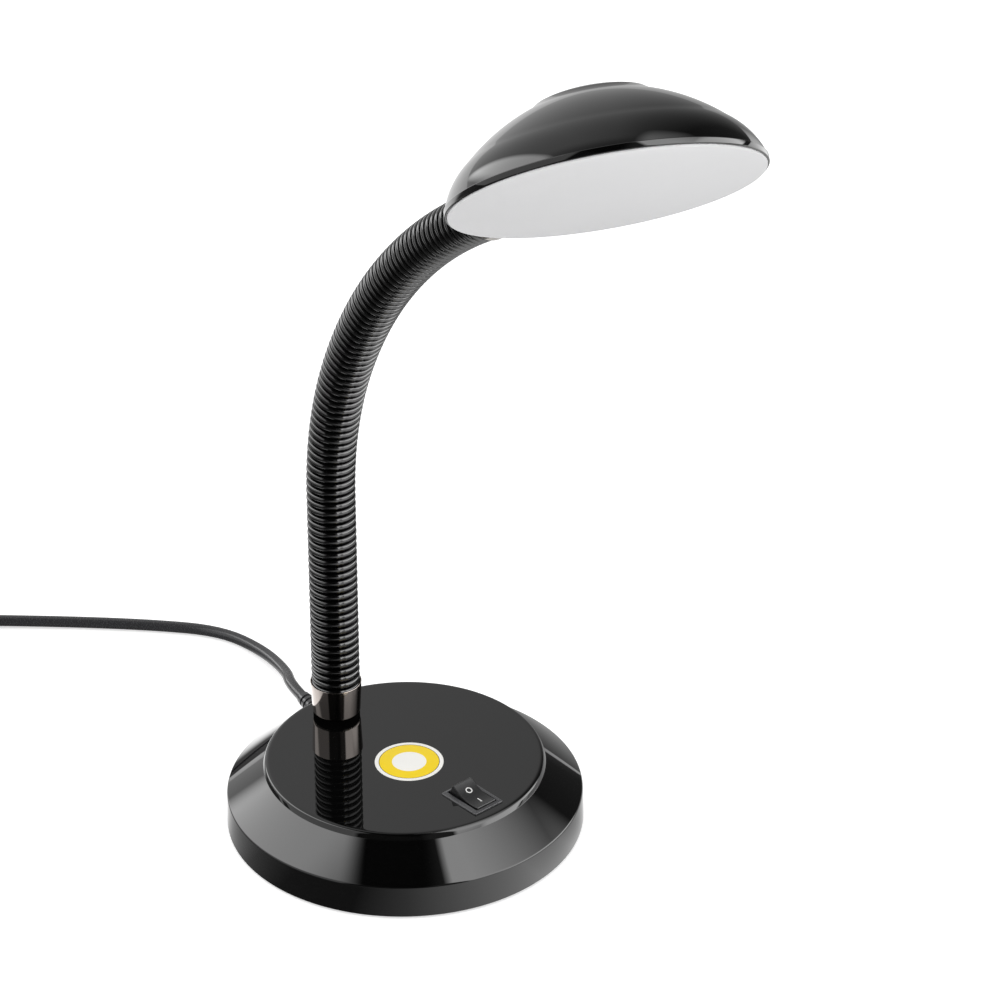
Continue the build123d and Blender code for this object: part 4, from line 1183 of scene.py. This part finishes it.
# Studio
@dataclass
class Studio:
    """Floor, light and camera of the photograph."""

    view_degrees: float = 49.7
    lens: float = 171.99
    floor_glow: float = 0.5
    # Brightest painted level of the paper in reflections, then its painted shade and light across the view,
    # near the foot in front and behind, and farther out
    floor_peak: float = 2.4
    floor_front: tuple[Point2, ...] = (
        (0.0, 0.26), (0.05, 0.12), (0.14, 0.04), (0.34, 0.04), (0.5, 0.25), (0.75, 0.8), (0.88, 1.0),
        (0.97, 0.6), (1.0, 0.3))
    floor_back: tuple[Point2, ...] = (
        (0.0, 0.6), (0.15, 0.85), (0.32, 0.6), (0.5, 0.38), (0.69, 0.18), (0.76, 0.1), (1.0, 0.45))
    floor_beyond: tuple[Point2, ...] = (
        (0.0, 0.05), (0.25, 0.08), (0.45, 0.28), (0.6, 0.4), (0.8, 0.8), (1.0, 0.9))
    left_box: Point3 = (-0.817, -0.439, -0.374)
    left_level: float = 4.6
    box_end: Point3 = (0.0, 0.8, 1.0)
    box_end_level: float = 0.25
    right_level: float = 5.2
    wall_levels: tuple[Point2, ...] = (
        (0.2, 1.0), (0.33, 0.95), (0.5, 0.68), (0.6, 0.4), (0.68, 0.25), (0.78, 0.08))
    right_end_level: float = 6.0
    left_end_shade: float = 0.9
    light_left: float = 1.12
    light_right: float = 0.94

    def camera(self) -> None:
        """Place the camera at the photograph's view."""
        turn = Matrix.Rotation(math.radians(self.view_degrees), 4, "Z")
        right = Vector((0.99962, -0.02708, -0.00475)).normalized()
        forward = Vector((0.02094, 0.86175, -0.5069)).normalized()
        pose = placed(right, -forward, Vector((0.0, -1.6538, 1.1247)))
        data = bpy.data.cameras.new("photo_camera")
        data.lens = self.lens
        data.sensor_width = 36.0
        data.clip_end = 50.0
        camera = add_object("photo_camera", data)
        camera.matrix_world = turn @ pose
        bpy.context.scene.camera = camera

    def floor(self) -> None:
        """Lay a wide paper floor, white to the camera, with painted shade and light in reflections."""
        bm = bmesh.new()
        bmesh.ops.create_circle(bm, cap_ends=True, segments=96, radius=6.0)
        floor = shaded("studio_floor", bm)
        material = bpy.data.materials.new("paper_sweep")
        tree = blank_tree(material)
        place = add_node(tree, "ShaderNodeTexCoord").outputs["Object"]
        fibre = add_node(tree, "ShaderNodeTexNoise", None, {"Vector": place, "Scale": 400.0})
        bump = add_node(tree, "ShaderNodeBump", None, {"Height": fibre, "Distance": 0.00002, "Strength": 0.3})
        paper = add_node(tree, "ShaderNodeBsdfDiffuse", None, {"Color": linear("F2F2F2"), "Normal": bump})
        ray = add_node(tree, "ShaderNodeLightPath").outputs
        lit = add_node(tree, "ShaderNodeMath", {"operation": "MULTIPLY"}, {
            0: ray["Is Camera Ray"], 1: self.floor_glow})
        glow = add_node(tree, "ShaderNodeEmission", None, {"Strength": lit})
        both = add_node(tree, "ShaderNodeAddShader", None, {0: paper, 1: glow})
        # Glossy rays see the paper's painted shade and light instead of its lit colour
        mirrored = add_node(tree, "ShaderNodeEmission", None, {
            "Color": self.painted_paper_light(tree, place), "Strength": self.floor_peak})
        shown = add_node(tree, "ShaderNodeMixShader", None, {0: ray["Is Glossy Ray"], 1: both, 2: mirrored})
        add_node(tree, "ShaderNodeOutputMaterial", None, {"Surface": shown})
        floor.data.materials.append(material)

    def painted_paper_light(self, tree: NodeTree, place: Any) -> Node:
        """Paint how light the paper looks in reflections, by bearing and distance from the lamp.

        Args:
            tree: The paper's tree.
            place: The place on the paper.

        Returns:
            The node that gives the level, as a share of the brightest.
        """
        bearing = add_node(tree, "ShaderNodeVectorMath", {"operation": "NORMALIZE"}, {
            0: self.aligned(tree, place)})
        axes = add_node(tree, "ShaderNodeSeparateXYZ", None, {0: bearing}).outputs
        distance = add_node(tree, "ShaderNodeVectorMath", {"operation": "LENGTH"}, {0: place})
        values: dict[Any, Any] = {"x": axes["X"], "y": axes["Y"], "distance": distance.outputs["Value"]}
        # The paper's look in reflections is painted. Round the foot it is painted in shade at the left and
        # bright at the right.
        # Farther out, where the neck mirrors it, it is painted dark at the left and light at the right. At
        # its far right end a painted light shows in the shade's lip, and its far left end is painted dark.
        add_tables(tree, values, ranges=(
            ("across", "LINEAR", "x", -1.0, 1.0),
            ("behind", "SMOOTHSTEP", "y", -0.2, 0.3),
            ("beyond", "SMOOTHSTEP", "distance", 0.11, 0.16),
            ("within", "SMOOTHSTEP", "distance", 0.5, 0.4),
            ("far off", "SMOOTHSTEP", "distance", 0.5, 0.8),
            ("to right", "SMOOTHSTEP", "across", 0.65, 0.85),
            ("from left", "SMOOTHSTEP", "across", 0.1, 0.05),
        ), ramps=(
            ("front", "across", self.floor_front),
            ("back", "across", self.floor_back),
            ("outer", "across", self.floor_beyond),
        ), sums=(
            ("back rise", "SUBTRACT", "back", "front"),
            ("round foot", "MULTIPLY_ADD", "back rise", "behind", "front"),
            ("outer back", "MINIMUM", "back", "outer"),
            ("outer rise", "SUBTRACT", "outer back", "outer"),
            ("far", "MULTIPLY_ADD", "outer rise", "behind", "outer"),
            ("far rise", "SUBTRACT", "far", "round foot"),
            ("band", "MULTIPLY", "beyond", "within"),
            ("unlit", "MULTIPLY_ADD", "far rise", "band", "round foot"),
            ("left end", "MULTIPLY", "far off", "from left"),
            ("left lit", "MULTIPLY_ADD", "left end", -self.left_end_shade, 1.0),
            ("dimmed", "MULTIPLY", "unlit", "left lit"),
            ("right end", "MULTIPLY", "far off", "to right"),
            ("right back", "MULTIPLY", "right end", "behind"),
            ("level", "MAXIMUM", "dimmed", "right back"),
        ))
        return values["level"]

    def aligned(self, tree: NodeTree, vector: Any) -> Node:
        """Turn a direction of the scene so that X runs to the right of the photograph's view.

        Args:
            tree: The material's or the world's tree.
            vector: The direction.

        Returns:
            The node that gives the turned direction.
        """
        return add_node(tree, "ShaderNodeMapping", {"vector_type": "POINT"}, {
            "Vector": vector, "Rotation": (0.0, 0.0, -math.radians(self.view_degrees))})

    def world(self) -> None:
        """Give the studio's surroundings: plain light, white behind, softboxes in reflections."""
        world = bpy.data.worlds.new("studio_world")
        bpy.context.scene.world = world
        tree = blank_tree(world)
        direction = self.aligned(tree, add_node(tree, "ShaderNodeTexCoord").outputs["Generated"])
        axes = add_node(tree, "ShaderNodeSeparateXYZ", None, {0: direction}).outputs
        values: dict[Any, Any] = {"x": axes["X"], "y": axes["Y"], "z": axes["Z"]}
        for name, towards in (("leaning", self.left_box), ("rising", self.box_end)):
            values[name] = add_node(tree, "ShaderNodeVectorMath", {"operation": "DOT_PRODUCT"}, {
                0: direction, 1: towards}).outputs["Value"]
        add_tables(tree, values, ranges=(
            ("left box", "SMOOTHSTEP", "leaning", 0.09, 0.21),
            ("box end", "SMOOTHSTEP", "rising", 0.48, 0.68),
            ("right of gap", "SMOOTHSTEP", "x", 0.12, 0.34),
            ("towards front", "LINEAR", "y", 0.42, -0.3),
            ("above floor", "SMOOTHSTEP", "z", 0.0, 0.3),
            ("far right", "SMOOTHSTEP", "x", 0.76, 0.9),
            ("beside", "SMOOTHSTEP", "y", 0.75, 0.45),
            ("over paper", "SMOOTHSTEP", "z", 0.0, 0.03),
            ("behind", "SMOOTHSTEP", "y", -0.15, 0.25),
            ("low", "SMOOTHSTEP", "z", 0.75, 0.45),
            ("before", "SMOOTHSTEP", "y", 0.1, -0.2),
            ("across", "LINEAR", "x", -1.0, 1.0),
        ), ramps=(("wall", "across", self.wall_levels),), sums=(
            ("wall behind", "MULTIPLY", "wall", "behind"),
            ("low before", "MULTIPLY", "low", "before"),
            ("wall in front", "MULTIPLY", "low before", 0.3),
            ("walls", "MAXIMUM", "wall behind", "wall in front"),
            ("right box edge", "MULTIPLY", "right of gap", "towards front"),
            ("right box", "MULTIPLY", "right box edge", "above floor"),
            ("box fall", "MAXIMUM", "box end", self.box_end_level),
            ("left box part", "MULTIPLY", "left box", "box fall"),
            ("left light", "MULTIPLY", "left box part", self.left_level),
            ("right light", "MULTIPLY", "right box", self.right_level),
            ("right end", "MULTIPLY", "far right", "beside"),
            ("right end shown", "MULTIPLY", "right end", "over paper"),
            ("right end light", "MULTIPLY", "right end shown", self.right_end_level),
            ("right lights", "MAXIMUM", "right light", "right end light"),
            ("boxes", "MAXIMUM", "left light", "right lights"),
            ("all", "MAXIMUM", "walls", "boxes"),
            ("aside", "ABSOLUTE", "x"),
            ("ahead", "MULTIPLY_ADD", "y", 0.8, 0.06),
            ("from gap", "ADD", "aside", "ahead"),
            ("widened", "MULTIPLY", "from gap", 12.0),
            ("opened", "MAXIMUM", "widened", 0.04),
            ("camera gap", "MINIMUM", "opened", 1.0),
            ("studio", "MULTIPLY", "all", "camera gap"),
            ("light fall", "MULTIPLY", "across", self.light_right - self.light_left),
            ("plain light", "ADD", "light fall", self.light_left),
        ))
        lights = {"white": 1.0, "studio": values["studio"], "plain": values["plain light"]}
        for name, strength in lights.items():
            lights[name] = add_node(tree, "ShaderNodeBackground", None, {
                "Color": (1.0, 1.0, 1.0, 1.0), "Strength": strength})
        ray = add_node(tree, "ShaderNodeLightPath").outputs
        lit = add_node(tree, "ShaderNodeMixShader", None, {
            0: ray["Is Glossy Ray"], 1: lights["plain"], 2: lights["studio"]})
        seen = add_node(tree, "ShaderNodeMath", {"operation": "MAXIMUM"}, {
            0: ray["Is Camera Ray"], 1: ray["Is Transmission Ray"]})
        shown = add_node(tree, "ShaderNodeMixShader", None, {0: seen, 1: lit, 2: lights["white"]})
        add_node(tree, "ShaderNodeOutputWorld", None, {"Surface": shown})

    def build(self) -> None:
        """Set up floor, light and camera."""
        bpy.context.scene.view_settings.view_transform = "Standard"
        self.camera()
        self.floor()
        self.world()


def main() -> None:
    """Build the lamp piece by piece."""
    logging.basicConfig(level=logging.INFO, format="%(name)s %(message)s")
    Studio().build()
    MainsLead().build()
    Foot().build()
    RockerSwitch().build()
    Gooseneck().build()
    Shade().build()


if __name__ == "__main__":
    main()
